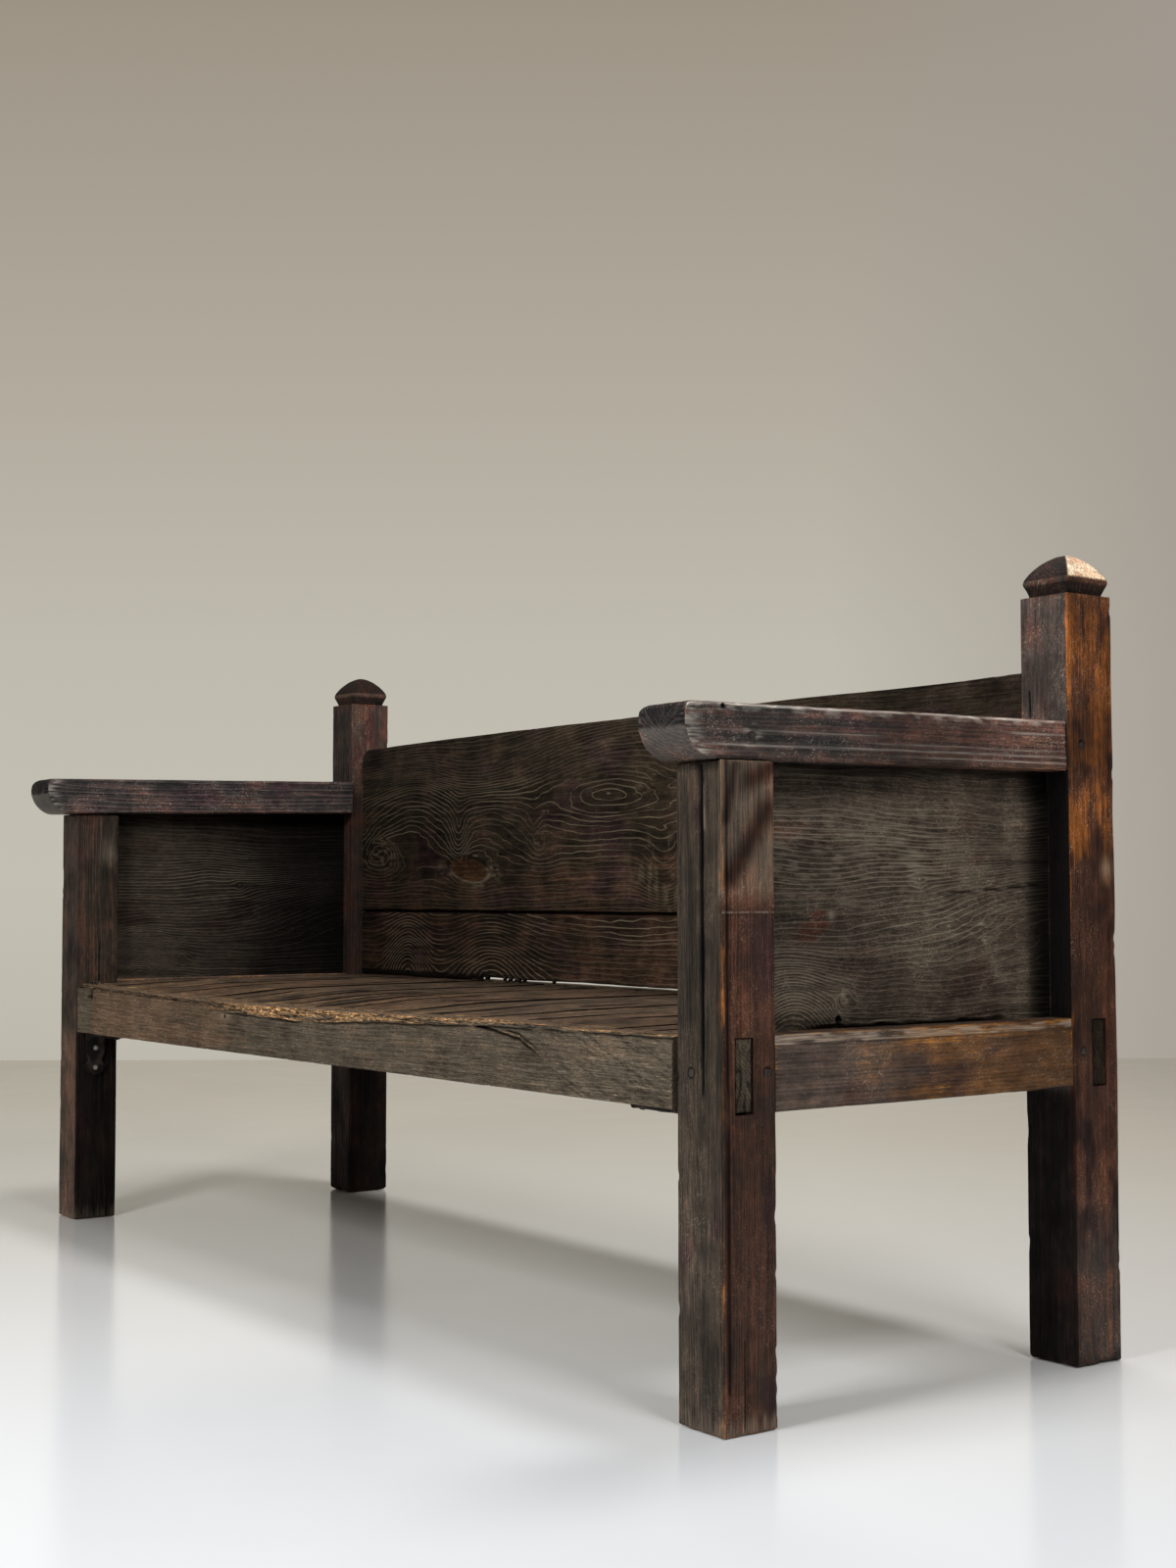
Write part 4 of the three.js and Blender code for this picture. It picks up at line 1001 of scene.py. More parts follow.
def nose_setback(height):
    """How far the nose is cut back at a height above the arm's underside."""
    t = np.linspace(0, 1, 60)
    back = 2 * (1 - t) * t * NOSE_UNDER * NOSE_FULL + t ** 2 * NOSE_UNDER
    level = (1 - t) ** 2 * NOSE_FACE + 2 * (1 - t) * t * NOSE_FACE * NOSE_FULL
    under = np.interp(height, level[::-1], back[::-1])
    over = np.clip(height - (ARM_THICK - NOSE_R), 0, NOSE_R)
    return under * (height < NOSE_FACE) + NOSE_R - np.sqrt(NOSE_R ** 2 - over ** 2 * 0.98)


def arm(side):
    sign, out, _ = sides(side)
    low, high = box_of(f"arm_{side}")
    high[1] = STAND[1]
    low[2], high[2] = ARM_BASE, ARM_BASE + ARM_THICK
    marks = {"y": marks_at(-0.2995, radius=3) + marks_at(-0.2557) + list(low[1] + np.arange(2, 60, 2) * MM),
             "z": marks_at(0.7958) + marks_at(0.8300, radius=3)}
    bar = Timber("y", low, high, 15 if sign > 0 else 16, along=4.3, across=1.4, marks=marks)
    heavy = {"-x+z": (24, 0.35), "+x+z": (6, 0.6), "+x-z": (3.5, 0.45), "-x-z": (4, 0.3)}
    wear(bar, heavy=heavy, foot=3.5, uneven=0.6, chips=2.5, rub=0.4)
    ring_field(bar, (0.86, sign * 1.00), 5.2, bend=9, seed=bar.seed)
    tone(bar, {"all": 0.3, out: 0.4, "+z": 0.5})
    darken(bar, {"+x": -0.45 if sign > 0 else -0.35, "-x": -0.4, "-y": -0.9})
    x, y, z = (bar.start[..., i] for i in range(3))
    face = bar.on("+x", 3)
    if sign > 0:
        bar.warm += 0.9 * ramp(y, -0.12, 0.10)
        bar.bare += 0.35 * ramp(y, 0.08, 0.26) * ramp(z, 0.83, 0.80)
        bar.shade += 0.75 * ramp(y, 0.05, 0.25) + 0.25 * ramp(y, -0.20, -0.30)
        bar.shade -= 0.35 * ramp(y, -0.14, -0.06) * ramp(y, 0.12, 0.04)
        hole(bar, "+x", {"y": -0.2995, "z": 0.8300}, 3.4, 5)
        away = np.hypot(y + 0.2557, z - 0.7955)
        bar.pale += 0.45 * face * ramp(away, 20 * MM, 9 * MM) * bar.patches(14, 4, 25, -0.3, 0.6)
        for level, strength in ((0.815, 0.6), (0.803, 0.35), (0.793, 0.45), (0.786, 0.5), (0.778, 0.4)):
            run = level + 1.2 * MM * bar.noise(200, 1000, 26)
            if level > 0.81:
                run = run + 0.012 * ramp(y, -0.05, -0.22)
            broken = bar.patches(120, 1000, int(level * 1000), -0.5, 0.2, octaves=1)
            bar.pale += strength * face * bell(z - run, 1.0 * MM) * broken
        worn_top = ramp(z, 0.820, 0.832) * bar.patches(12, 6, 27, -0.1, 0.6)
        bar.pale += 0.5 * bar.on("+x", 5) * worn_top
        # A painted highlight: a bright broken line along the top arris of the outer face.
        bar.pale += 0.9 * bell(z - 0.8325, 1.7 * MM) * bar.on("+x", 6) * bar.patches(45, 1000, 38, -0.7, 0.1)
    nose = ramp(y, low[1] + 34 * MM, low[1] + 4 * MM)
    fuzzy = bar.patches(16, 3, 28, -0.4, 0.5)
    side_nose = nose * np.maximum(bar.on("+x", 5), bar.on("+z", 6) * 0.6) * (1 - bar.on("-y", 2))
    bar.pale += 0.5 * side_nose * fuzzy
    paint(bar, side_nose, bare=0.2, shade=0.2)
    under = ramp(z, ARM_BASE + 41 * MM, ARM_BASE + 36 * MM) * bar.on("-y", 2)
    bar.pale += 0.12 * under
    saw = np.abs((x / (5.5 * MM) + 0.4 * bar.noise(1000, 20, 29)) % 1 - 0.5)
    saw = np.maximum(ramp(saw, 0.42, 0.5), ramp(np.abs((z / (6.5 * MM)) % 1 - 0.5), 0.44, 0.5))
    bar.shade += bar.on("-y", 2) * (0.3 * under - 1.7 * (1 - under))
    bar.pale += 0.6 * bar.on("-y", 2) * (1 - under) * saw
    hole(bar, out, {"y": -0.2557, "z": 0.7955}, PEG_R, 1.6, 0.6)
    share = np.clip(1 - (bar.p[..., 1] - low[1]) / (70 * MM), 0, 1)
    bar.p[..., 1] += nose_setback(np.clip(bar.p[..., 2] - low[2], 0, ARM_THICK)) * share
    bar.p[..., 2] += ARM_RISE[side] * (bar.p[..., 1] - STAND[0]) / (STAND[1] - STAND[0])
    return bar


for side in ("left", "right"):
    drawn_in(f"worn_arm_{side}", [arm(side)], arm_oak, [f"arm_{side}"])

# %% [markdown]
# ## Rails
#
# The front rail has lost its upper arris. Two centuries of knees and heels have torn the fibres off in a
# long ragged band, which shows the clean orange wood. Below it the face is weathered grey, with one
# slanting tear near the right end. The band is a chamfer whose height follows points read along the
# rail, roughened by noise that is long along the grain.

# %% Front rail
BAND_X = np.array([-0.93, -0.776, -0.60, -0.40, -0.30, -0.20, -0.05, 0.08, 0.20, 0.40, 0.519, 0.696, 0.913])
BAND_LOW = np.array([0.438, 0.434, 0.432, 0.430, 0.424, 0.421, 0.420, 0.423, 0.429, 0.436, 0.440, 0.442,
                     0.445])
CREST_X = np.array([-0.93, -0.86, -0.60, -0.288, 0.148, 0.519, 0.696, 0.93])
CREST = np.array([0.447, 0.444, 0.440, 0.4375, 0.441, 0.449, 0.447, 0.4495])
TEAR_X, TEAR_Z = (0.46, 0.52, 0.59, 0.655), (0.4385, 0.4345, 0.4255, 0.4010)
TILT = np.array([[0.94, 0, -0.34], [0, 1, 0], [0.34, 0, 0.94]])
RAIL_DROP = 8 * MM
RAIL_Y = (-0.30575, -0.24175)
REBATE_Y = -0.26175
REBATE_Z = 0.4285


def crest(x):
    """The height to which sitting has worn the front of the seat."""
    return np.interp(x, CREST_X, CREST)


def seat_drop(x, y):
    """How far sitting has worn the seat down, most at its front edge."""
    return (RAIL_TOP - crest(x)) * ramp(y, -0.062, -0.300) + 1.2 * MM * ramp(y, 0.1, -0.1)


def front_rail():
    low, high = np.array([-0.9222, RAIL_Y[0], 0.361]), np.array([0.913, RAIL_Y[1], RAIL_TOP])
    marks = {
        "y": step_at(REBATE_Y) + list(RAIL_Y[0] + np.arange(9, 20, 1.5) * MM),
        "z": list(np.arange(0.4115, 0.446, 0.0012)) + marks_at(0.416, radius=3),
        "x": marks_at(-0.2830, radius=3) + list(np.arange(0.46, 0.68, 0.0026)) + step_at(-0.854),
    }
    rail = Timber("x", low, high, 17, along=5.4, across=2.7, marks=marks)
    wear(rail, radius=2.0, heavy={"-y-z": (2.6, 0.2), "-y+z": (2.0, 0.0)}, foot=1.5, rub=0.2)
    ring_field(rail, (-0.20, 0.30), 4.2, bend=14, seed=17)
    tone(rail, {"all": 0.15, "+z": 0.75})
    x, y, z = (rail.start[..., i] for i in range(3))
    low_edge = np.interp(x, BAND_X, BAND_LOW) + 1.6 * MM * rail.noise(30, 300, 31, 3)
    tall = RAIL_TOP - low_edge
    wide = 12 * MM + 4 * MM * rail.noise(80, 300, 32)
    into = y - low[1]
    torn = np.clip(1 - (np.maximum(into, 0) / wide + np.maximum(RAIL_TOP - z, 0) / tall), 0, 1)
    ragged = np.abs(rail.noise(22, 2.6, 33, 3)) * ramp(torn, 0.0, 0.15)
    rail.p[..., 1] += torn * wide * 0.62 + 2.2 * MM * ragged
    rail.p[..., 2] -= torn * tall * 0.30
    on_top = rail.on("+z", 3)
    worn = seat_drop(x, y) * np.clip((z - low_edge) / tall, 0, 1)
    rail.p[..., 2] -= worn * (1 - torn * 0.5) + 1.2 * MM * np.abs(rail.noise(40, 5, 34, 2)) * on_top
    cloud = 0.5 + 0.6 * rail.noise(55, 9, 35, 2) + 0.25 * ramp(np.abs(x + 0.06), 0.4, 0.05)
    share = np.interp(x, [-0.93, -0.5, -0.33, -0.2, 0.1, 0.45, 0.9], [0.2, 0.3, 0.7, 1.0, 1.0, 0.6, 0.45])
    band = ramp(torn, 0.02, 0.14)
    rail.bare += band * cloud * share
    crumbs = rail.patches(9, 3, 43, -0.1, 0.5)
    rail.pale += 0.35 * band * crumbs * share
    rail.shade += band * (0.3 - 3.2 * ragged - 0.5 * ramp(x, -0.25, -0.5))
    rail.shade -= 0.05
    rail.bare += 0.30 * on_top * ramp(into, 36 * MM, 4 * MM)
    face = rail.on("-y", 3)
    # A painted shadow under the overhanging torn band: a dark line, sunk a little, along its lower edge.
    under = bell(z - low_edge + 1.4 * MM, 1.5 * MM) * ramp(x, -0.42, -0.22) * face
    under = under * rail.patches(60, 1000, 37, -0.7, 0.1)
    sink(rail, "-y", 2.4 * under)
    rail.dirt += 0.9 * under
    path = np.interp(x, TEAR_X, TEAR_Z) + 1.2 * MM * rail.noise(16, 1000, 36, 2)
    reach = ramp(x, 0.46, 0.50) * ramp(x, 0.66, 0.645) * face
    upper = path + 6.5 * MM * ramp(x, 0.50, 0.575) * ramp(x, 0.668, 0.62)
    gaps = [bell(z - line, width * MM) for line, width in ((path, 2.3), (upper, 1.3))]
    lines = np.maximum(gaps[0], gaps[1] * ramp(x, 0.54, 0.57)) * reach
    lines = lines * rail.patches(14, 1000, 57, -1.3, -0.4) * ramp(x, 0.655, 0.60)
    core = ramp(z, path + 0.8 * MM, path + 2.2 * MM) * ramp(z, upper - 0.6 * MM, upper - 2.0 * MM) * reach
    sink(rail, "-y", 3.4 * lines - 1.0 * core)
    rail.pale += 0.6 * core * rail.patches(9, 4, 39, -0.2, 0.4)
    rail.bare += 0.35 * core
    slant = noise(rail.start @ TILT.T, (40 * MM, 1.0, 2.4 * MM), 40, 2)
    right_end = ramp(x, 0.62, 0.72) * face
    rail.shade += right_end * (0.35 - 0.9 * ramp(slant, 0.1, 0.6))
    rail.dirt += 0.9 * ramp(lines, 0.2, 0.7)
    hole(rail, "-y", {"x": -0.2830, "z": 0.416}, 3.2, 5)
    rail.pale += 0.5 * near(rail, (-0.283, low[1], 0.417), (22, 9, 7)) * face
    rail.warm += 0.75 * ramp(x, -0.10, -0.45) * rail.on("-y", 9)
    rail.shade += 0.3 * ramp(x, -0.35, -0.6) * rail.on("-y", 9)
    block = ramp(x, -0.845, -0.855) * rail.on("-y", 9)
    rail.warm -= 0.8 * block
    seam = bell(x + 0.854, 1.0 * MM) * face * ramp(z, 0.418, 0.426)
    sink(rail, "-y", 3 * seam)
    rail.dirt += seam + 0.8 * near(rail, (-0.862, low[1], 0.425), (10, 9, 3)) * face
    rebate = (y > REBATE_Y) & (RAIL_TOP - z < 22 * MM)
    rail.p[..., 2] = np.where(rebate, np.minimum(rail.p[..., 2], REBATE_Z), rail.p[..., 2])
    deeper = RAIL_DROP * (0.9225 - rail.p[..., 0]) / 1.845
    rail.p[..., 2] -= deeper * np.clip((RAIL_TOP - rail.p[..., 2]) / (90 * MM), 0, 1)
    return rail


def tenon(y, side, seed):
    """The end of a long rail's through tenon, which shows on the outer face of a post."""
    sign = sides(side)[0]
    inner, outer = sign * 0.90, sign * 1.0057
    low = np.array([min(inner, outer), y[0] + 0.3 * MM, 0.3635 if y[0] < 0 else 0.3618])
    front = y[0] < 0
    high = np.array([max(inner, outer), y[1] - (2.5 if front else 0.9) * MM, 0.4485])
    stub = Timber("x", low, high, seed, along=6, across=1.6)
    wear(stub, radius=1.0, chips=1.5, foot=1.2, uneven=0.5, rub=0.1)
    ring_field(stub, (y[0] - 0.12, 0.30), 4.2, seed=17)
    tone(stub, {"all": 0.0 if front else 0.9})
    spots = noise(stub.start, (9 * MM, 5 * MM, 9 * MM), seed, 3)
    stub.shade += 0.7 * spots - (0.6 if front else 2.5)
    stub.dirt += 0.8 * ramp(np.abs(noise(stub.start, (1.0, 6 * MM, 60 * MM), seed + 40, 2)), 0.10, 0.03)
    stub.dirt += 0.6 * ramp(stub.arris(), 2.5 * MM, 0.5 * MM)
    return stub


front_pieces = [front_rail(), tenon(FRONT_TENON_Y, "left", 18), tenon(FRONT_TENON_Y, "right", 19)]
drawn_in("torn_front_rail", front_pieces, rail_oak, ["front_rail"])


# %% Rear rail
def rear_rail():
    low, high = box_of("rear_rail")
    low[0], high[0] = -0.9232, 0.9232
    floor_y = 0.32125
    rail = Timber("x", low, high, 20, along=12, across=4, marks={"y": step_at(floor_y)})
    wear(rail, foot=1.5)
    ring_field(rail, (0.40, 0.30), 4.5, bend=12, seed=20)
    tone(rail, {"all": 0.3})
    rebate = (rail.start[..., 1] < floor_y) & (RAIL_TOP - rail.start[..., 2] < 22 * MM)
    rail.p[..., 2] = np.where(rebate, np.minimum(rail.p[..., 2], REBATE_Z), rail.p[..., 2])
    return rail


rear_pieces = [rear_rail(), tenon(REAR_TENON_Y, "left", 21), tenon(REAR_TENON_Y, "right", 22)]
drawn_in("rough_rear_rail", rear_pieces, rail_oak, ["rear_rail"])


# %% Side rails
def side_rail(side):
    sign, out, _ = sides(side)
    low, high = box_of(f"side_rail_{side}")
    low[1], high[1] = -0.2250, 0.2840
    rail = Timber("y", low, high, 23 if sign > 0 else 24, marks={"z": list(np.arange(0.433, 0.4415, 0.0012))})
    wear(rail, heavy={f"{out}+z": (4.5, 0.9)}, foot=0.4, rub=0.3)
    ring_field(rail, (0.30, sign * 0.95), 4.4, bend=10, seed=rail.seed)
    y, z = rail.start[..., 1], rail.start[..., 2]
    tone(rail, {"all": 0.3, out: 0.1})
    wide, face = rail.on(out, 9), rail.on(out, 3)
    rail.warm += 1.0 * ramp(y + 60 * MM * rail.noise(90, 40, 41, 2), -0.10, 0.12) * wide
    rubbed = bell(y - 0.05, 0.09) * rail.patches(45, 22, 43, -0.7, 0.5)
    rail.bare += 0.32 * rubbed * wide
    rail.shade += (0.35 * ramp(y, -0.02, -0.15) - 0.3 * ramp(y, 0.14, 0.25)) * wide
    edge = z + 1.2 * MM * rail.noise(60, 4, 40, 2)
    ledge = ramp(edge, 0.4375, 0.4395) * face
    sink(rail, out, 1.4 * ledge)
    rail.bare += (0.3 * ledge + 0.35 * bell(edge - 0.4345, 4 * MM) * face) * ramp(y, -0.12, 0.0)
    rail.pale += 0.85 * ledge * rail.patches(25, 4, 42, -0.6, 0.2)
    rail.shade -= 1.1 * bell(edge - 0.4378, 0.8 * MM) * face
    rail.p[..., 2] += 3 * MM * ramp(y, 0.20, 0.27) * ramp(z, 0.40, 0.365)
    return rail


for side in ("left", "right"):
    drawn_in(f"worn_side_rail_{side}", [side_rail(side)], side_oak, [f"side_rail_{side}"])

# %% [markdown]
# ## End panels and back boards
#
# These are wide boards sawn from near the middle of the log, so they show arches and knots. The rings
# run level, lift into arches, dip between them and flow around each knot, like water round a post. Two
# sums describe that. A soft hump lifts the rings by its height. For a knot, the height above it is taken
# times one minus the knot's radius squared over the distance squared, and inside it the rings close.


# %% Flow of the rings
def flow_of(u, z, humps, knots):
    """The height at which a ring at (u, z) would lie on a board without humps and knots."""
    lift = 0.0
    for hu, hz, wide, tall, height in humps:
        lift = lift + height * np.exp(-((u - hu) / wide) ** 2 - ((z - hz) / tall) ** 2)
    for ku, kz, radius, flat, inner in knots:
        away = np.sqrt(((u - ku) * flat) ** 2 + (z - kz) ** 2)
        lift = lift + (z - kz) * np.minimum((radius / np.maximum(away, 1e-6)) ** 2, 1.0)
        lift = lift - inner * np.maximum(radius - away, 0)
    return z - lift


# %% End panels
PANEL_HUMPS = [(0.30, 0.595, 0.22, 0.070, 0.070), (-0.165, 0.462, 0.065, 0.065, 0.060),
               (0.16, 0.700, 0.25, 0.060, -0.022), (-0.02, 0.665, 0.06, 0.040, 0.010)]
PANEL_KNOTS = [(0.048, 0.630, 0.008, 0.8, 1.0), (-0.085, 0.482, 0.012, 0.8, 0.8)]


def end_panel(side):
    sign, out, _ = sides(side)
    low, high = box_of(f"end_panel_{side}")
    marks = {"y": marks_at(-0.092, radius=5), "z": marks_at(0.4615, radius=4)}
    board = Timber("y", low, high, 25 if sign > 0 else 26, along=5, across=3, marks=marks)
    wear(board, radius=1.5, foot=1.0, uneven=0.9, rub=0.1)

    def field(q):
        level = flow_of(q[..., 1], q[..., 2], PANEL_HUMPS, PANEL_KNOTS)
        level = level + 4 * MM * noise(q, (1.0, 0.11, 0.06), 63 + sign, 2)
        rings = np.interp(level, [0.40, 0.54, 0.60, 0.80], [0, 24, 32, 60])
        return rings + 0.3 * noise(q, board.size(80, 8), 66, 2)

    count_rings(board, field)
    y, z = board.start[..., 1], board.start[..., 2]
    tone(board, {"all": -0.1})
    # Painted shade under the arm along the top of both panels.
    board.shade -= 0.9 * ramp(z, 0.742, 0.772)
    if sign > 0:
        broken = board.patches(24, 14, 58, -0.6, 0.1)
        red = near(board, (0.9685, -0.142, 0.578), (20, 44, 28))
        red = np.maximum(red, near(board, (0.9685, -0.165, 0.685), (20, 30, 20)))
        board.warm += 0.9 * ramp(red, 0.15, 0.7) * broken
        board.warm += 0.5 * near(board, (0.9685, -0.09, 0.65), (20, 60, 7))
        board.pale += 0.6 * near(board, (0.9685, -0.102, 0.588), (20, 5, 6))
        level = ramp(z, 0.60, 0.64) * ramp(z, 0.74, 0.70) * ramp(y, 0.16, 0.02)
        arches = near(board, (0.9685, -0.165, 0.495), (20, 75, 50))
        fan = near(board, (0.9685, 0.06, 0.575), (20, 130, 36))
        board.figure += 0.4 * level + 0.65 * arches + 0.6 * fan
        board.pale += 0.3 * level * board.patches(18, 3, 59, 0.0, 0.5)
        board.shade += 0.3 * ramp(y, 0.0, 0.1) - 0.3 * ramp(y, 0.05, -0.1)
        board.pale += 0.5 * near(board, (0.9685, -0.080, 0.601), (20, 17, 2.2))
        knot = near(board, (0.9685, -0.086, 0.486), (20, 10, 20)) * board.on(out, 3)
        rough = board.patches(6, 5, 42, -0.2, 0.6, octaves=1)
        board.pale += 0.9 * knot * rough
        sink(board, out, 2.0 * knot * (1 - rough))
        hole(board, out, {"y": -0.092, "z": 0.4610}, 5.0, 7)
        split(board, out, (0.075, 0.613), (0.283, 0.625), 1.6, 4, 1.5, 43, 0.9)
        edge = z + 2.5 * MM * board.noise(24, 1000, 44, 2)
        torn = ramp(edge, 0.4550, 0.4525) * board.on(out, 3) * ramp(y, -0.17, -0.12) * ramp(y, 0.25, 0.15)
        board.dirt += torn * 0.95
        ragged = board.patches(20, 1000, 45, 0.0, 0.4, octaves=1)
        board.pale += 0.6 * bell(edge - 0.4562, 1.2 * MM) * board.on(out, 3) * ragged
        sink(board, out, 4 * torn)
        for cy, cz, wide in ((0.162, 0.553, 5), (0.157, 0.575, 6), (0.057, 0.588, 5), (0.04, 0.527, 4)):
            board.pale += 0.7 * near(board, (0.9685, cy, cz), (20, wide, 1.8))
        # Painted shade: near black at the rear end, in the recess beside the rear post, and darker under the
        # arm.
        board.shade -= 4.5 * ramp(y, 0.228, 0.280) + 1.5 * ramp(z, 0.758, 0.774)
    else:
        # The inner face is painted in shade, deepest towards the rear.
        darken(board, {"+x": -1.2})
        board.warm -= 0.25
        board.figure += 0.5 * near(board, (-0.96, 0.0, 0.64), (100, 130, 60))
        board.shade -= 3.2 * ramp(y, -0.05, 0.26) * board.on("+x", 9)
    return board


for side in ("left", "right"):
    drawn_in(f"scrubbed_panel_{side}", [end_panel(side)], panel_oak, [f"end_panel_{side}"])

# %% Back boards
UPPER_HUMPS = [(-0.710, 0.765, 0.130, 0.085, 0.062), (-0.545, 0.728, 0.030, 0.055, -0.048),
               (-0.435, 0.742, 0.090, 0.050, 0.030), (-0.285, 0.735, 0.026, 0.040, -0.026),
               (-0.470, 0.845, 0.200, 0.055, -0.020), (0.030, 0.890, 0.260, 0.075, 0.036),
               (0.100, 0.660, 0.050, 0.070, -0.035), (-0.930, 0.740, 0.050, 0.060, -0.020),
               (0.420, 0.720, 0.120, 0.080, 0.050), (0.700, 0.780, 0.090, 0.070, -0.040)]
UPPER_KNOTS = [(-0.509, 0.661, 0.028, 0.42, 0.0), (-0.268, 0.708, 0.020, 0.80, 1.4),
               (-0.835, 0.694, 0.034, 0.50, 1.3), (-0.055, 0.789, 0.036, 0.25, 0.85),
               (-0.885, 0.690, 0.013, 0.80, 1.5), (0.560, 0.700, 0.022, 0.7, 1.2)]
LOWER_HUMPS = [(-0.735, 0.440, 0.070, 0.120, 0.100), (-0.430, 0.440, 0.120, 0.120, 0.095),
               (0.020, 0.550, 0.200, 0.050, -0.018), (0.500, 0.440, 0.140, 0.110, 0.080)]
UPPER_COUNT = ([0.40, 0.56, 0.645, 0.690, 0.775, 0.80, 0.95, 1.1], [-30, -8, 4, 9, 15.5, 18.5, 42, 62])
LOWER_COUNT = ([0.30, 0.46, 0.60], [-14, 0, 13.5])
LAP_Y = 0.3215
OPEN = [(-0.500, -0.489), (-0.462, -0.450), (-0.440, -0.388), (-0.382, -0.370), (-0.362, -0.350),
        (-0.333, -0.323), (-0.316, -0.227), (-0.222, 0.140), (0.145, 0.820)]


def back_board(name):
    low, high = box_of(f"back_board_{name}")
    low[0], high[0] = -0.924, 0.924
    upper = name == "upper"
    marks = {} if upper else {"y": step_at(LAP_Y), "x": step_at(*[end for ends in OPEN for end in ends])}
    board = Timber("x", low, high, 27 if upper else 28, along=5.4, across=3, marks=marks)
    wear(board, radius=2.2, chips=2.5, foot=1.0, uneven=1.0, rub=0.1)
    humps, knots, count = (UPPER_HUMPS, UPPER_KNOTS, UPPER_COUNT) if upper else (LOWER_HUMPS, (), LOWER_COUNT)

    def field(q):
        level = flow_of(q[..., 0], q[..., 2], humps, knots) + 5 * MM * noise(q, (0.42, 1.0, 0.14), 71, 2)
        return np.interp(level, *count) + 0.3 * noise(q, board.size(60, 12), 72, 2)

    count_rings(board, field)
    tone(board, {"all": 0.2})
    board.shade += np.interp(board.start[..., 0], [-0.92, -0.6, -0.2, 0.2, 0.8],
                             [-0.9, -0.6, -0.15, 0.2, -0.4])
    board.warm -= 0.6 * ramp(board.start[..., 0], 0.4, 0.6)
    return finish_upper(board) if upper else finish_lower(board)


def finish_upper(board):
    """The upper board: rough knots, one clean orange knot, a worn top edge and a rounded corner."""
    x, z = board.start[..., 0], board.start[..., 2]
    board.warm += 0.35 * ramp(z + 40 * MM * board.noise(140, 60, 46, 2), 0.73, 0.60)
    arched = ramp(z + 12 * MM * board.noise(90, 1000, 60), 0.84, 0.79)
    arched = ramp(z, 0.655, 0.69) * arched * ramp(x, 0.30, 0.15)
    arched = arched * board.patches(130, 40, 61, -0.9, 0.1)
    board.figure += 0.9 * arched - 0.25 * ramp(x, 0.3, 0.5)
    board.shade -= 0.35 * arched
    strokes = ramp(noise(board.start, (9 * MM, 1.0, 34 * MM), 62, 2), 0.1, 0.6)
    strokes = strokes * ramp(x, -0.05, 0.05) * ramp(z, 0.73, 0.69)
    board.pale += 0.35 * strokes * ramp(x, 0.5, 0.3)
    for kx, kz, wide, tall in ((-0.835, 0.69, 45, 26), (-0.43, 0.665, 30, 14), (-0.268, 0.708, 16, 15),
                               (0.045, 0.79, 26, 14)):
        heart = near(board, (kx, 0.31, kz), (wide, 1000, tall)) * board.on("-y", 3)
        rough = board.patches(12, 5, 47, -0.3, 0.5)
        sink(board, "-y", heart * (1 - rough) * 2.5)
        board.pale += 0.5 * heart * rough
        board.shade -= 0.6 * heart * (1 - rough)
    tilt = (z - 0.661) + 0.12 * (x + 0.509)
    oval = np.sqrt(((x + 0.509) / (66 * MM)) ** 2 + (tilt / (22 * MM)) ** 2)
    inside = ramp(oval, 1.04, 0.94)
    board.bare += 0.85 * inside
    board.shade -= 0.2 * inside
    board.warm += 0.4 * inside
    shreds = board.patches(14, 6, 53, 0.1, 0.5) * ramp(oval, 2.1, 1.2) * ramp(oval, 1.1, 1.25)
    board.pale += 0.5 * shreds * ramp(z, 0.70, 0.66)
    board.pale += 0.9 * bell(oval - 1.08, 0.08) * ramp(z, 0.672, 0.655)
    board.dirt += 0.7 * bell(oval - 1.14, 0.08) * ramp(z, 0.650, 0.662)
    board.shade -= 0.8 * near(board, (-0.62, 0.31, 0.695), (50, 1000, 16))
    crown = 3.5 * MM * (1 - np.clip((x + 0.15) / 0.78, -1, 1) ** 2) + 1.2 * MM * board.noise(240, 1000, 48)
    board.p[..., 2] += np.minimum(crown - 4.5 * MM, 0) * ramp(z, 0.86, 0.918)
    corner = np.clip(26 * MM - (x - board.low[0]), 0, 26 * MM)
    drop = 26 * MM - np.sqrt((26 * MM) ** 2 - corner ** 2 * 0.97)
    board.p[..., 2] -= drop * ramp(z, 0.82, 0.918)
    return board


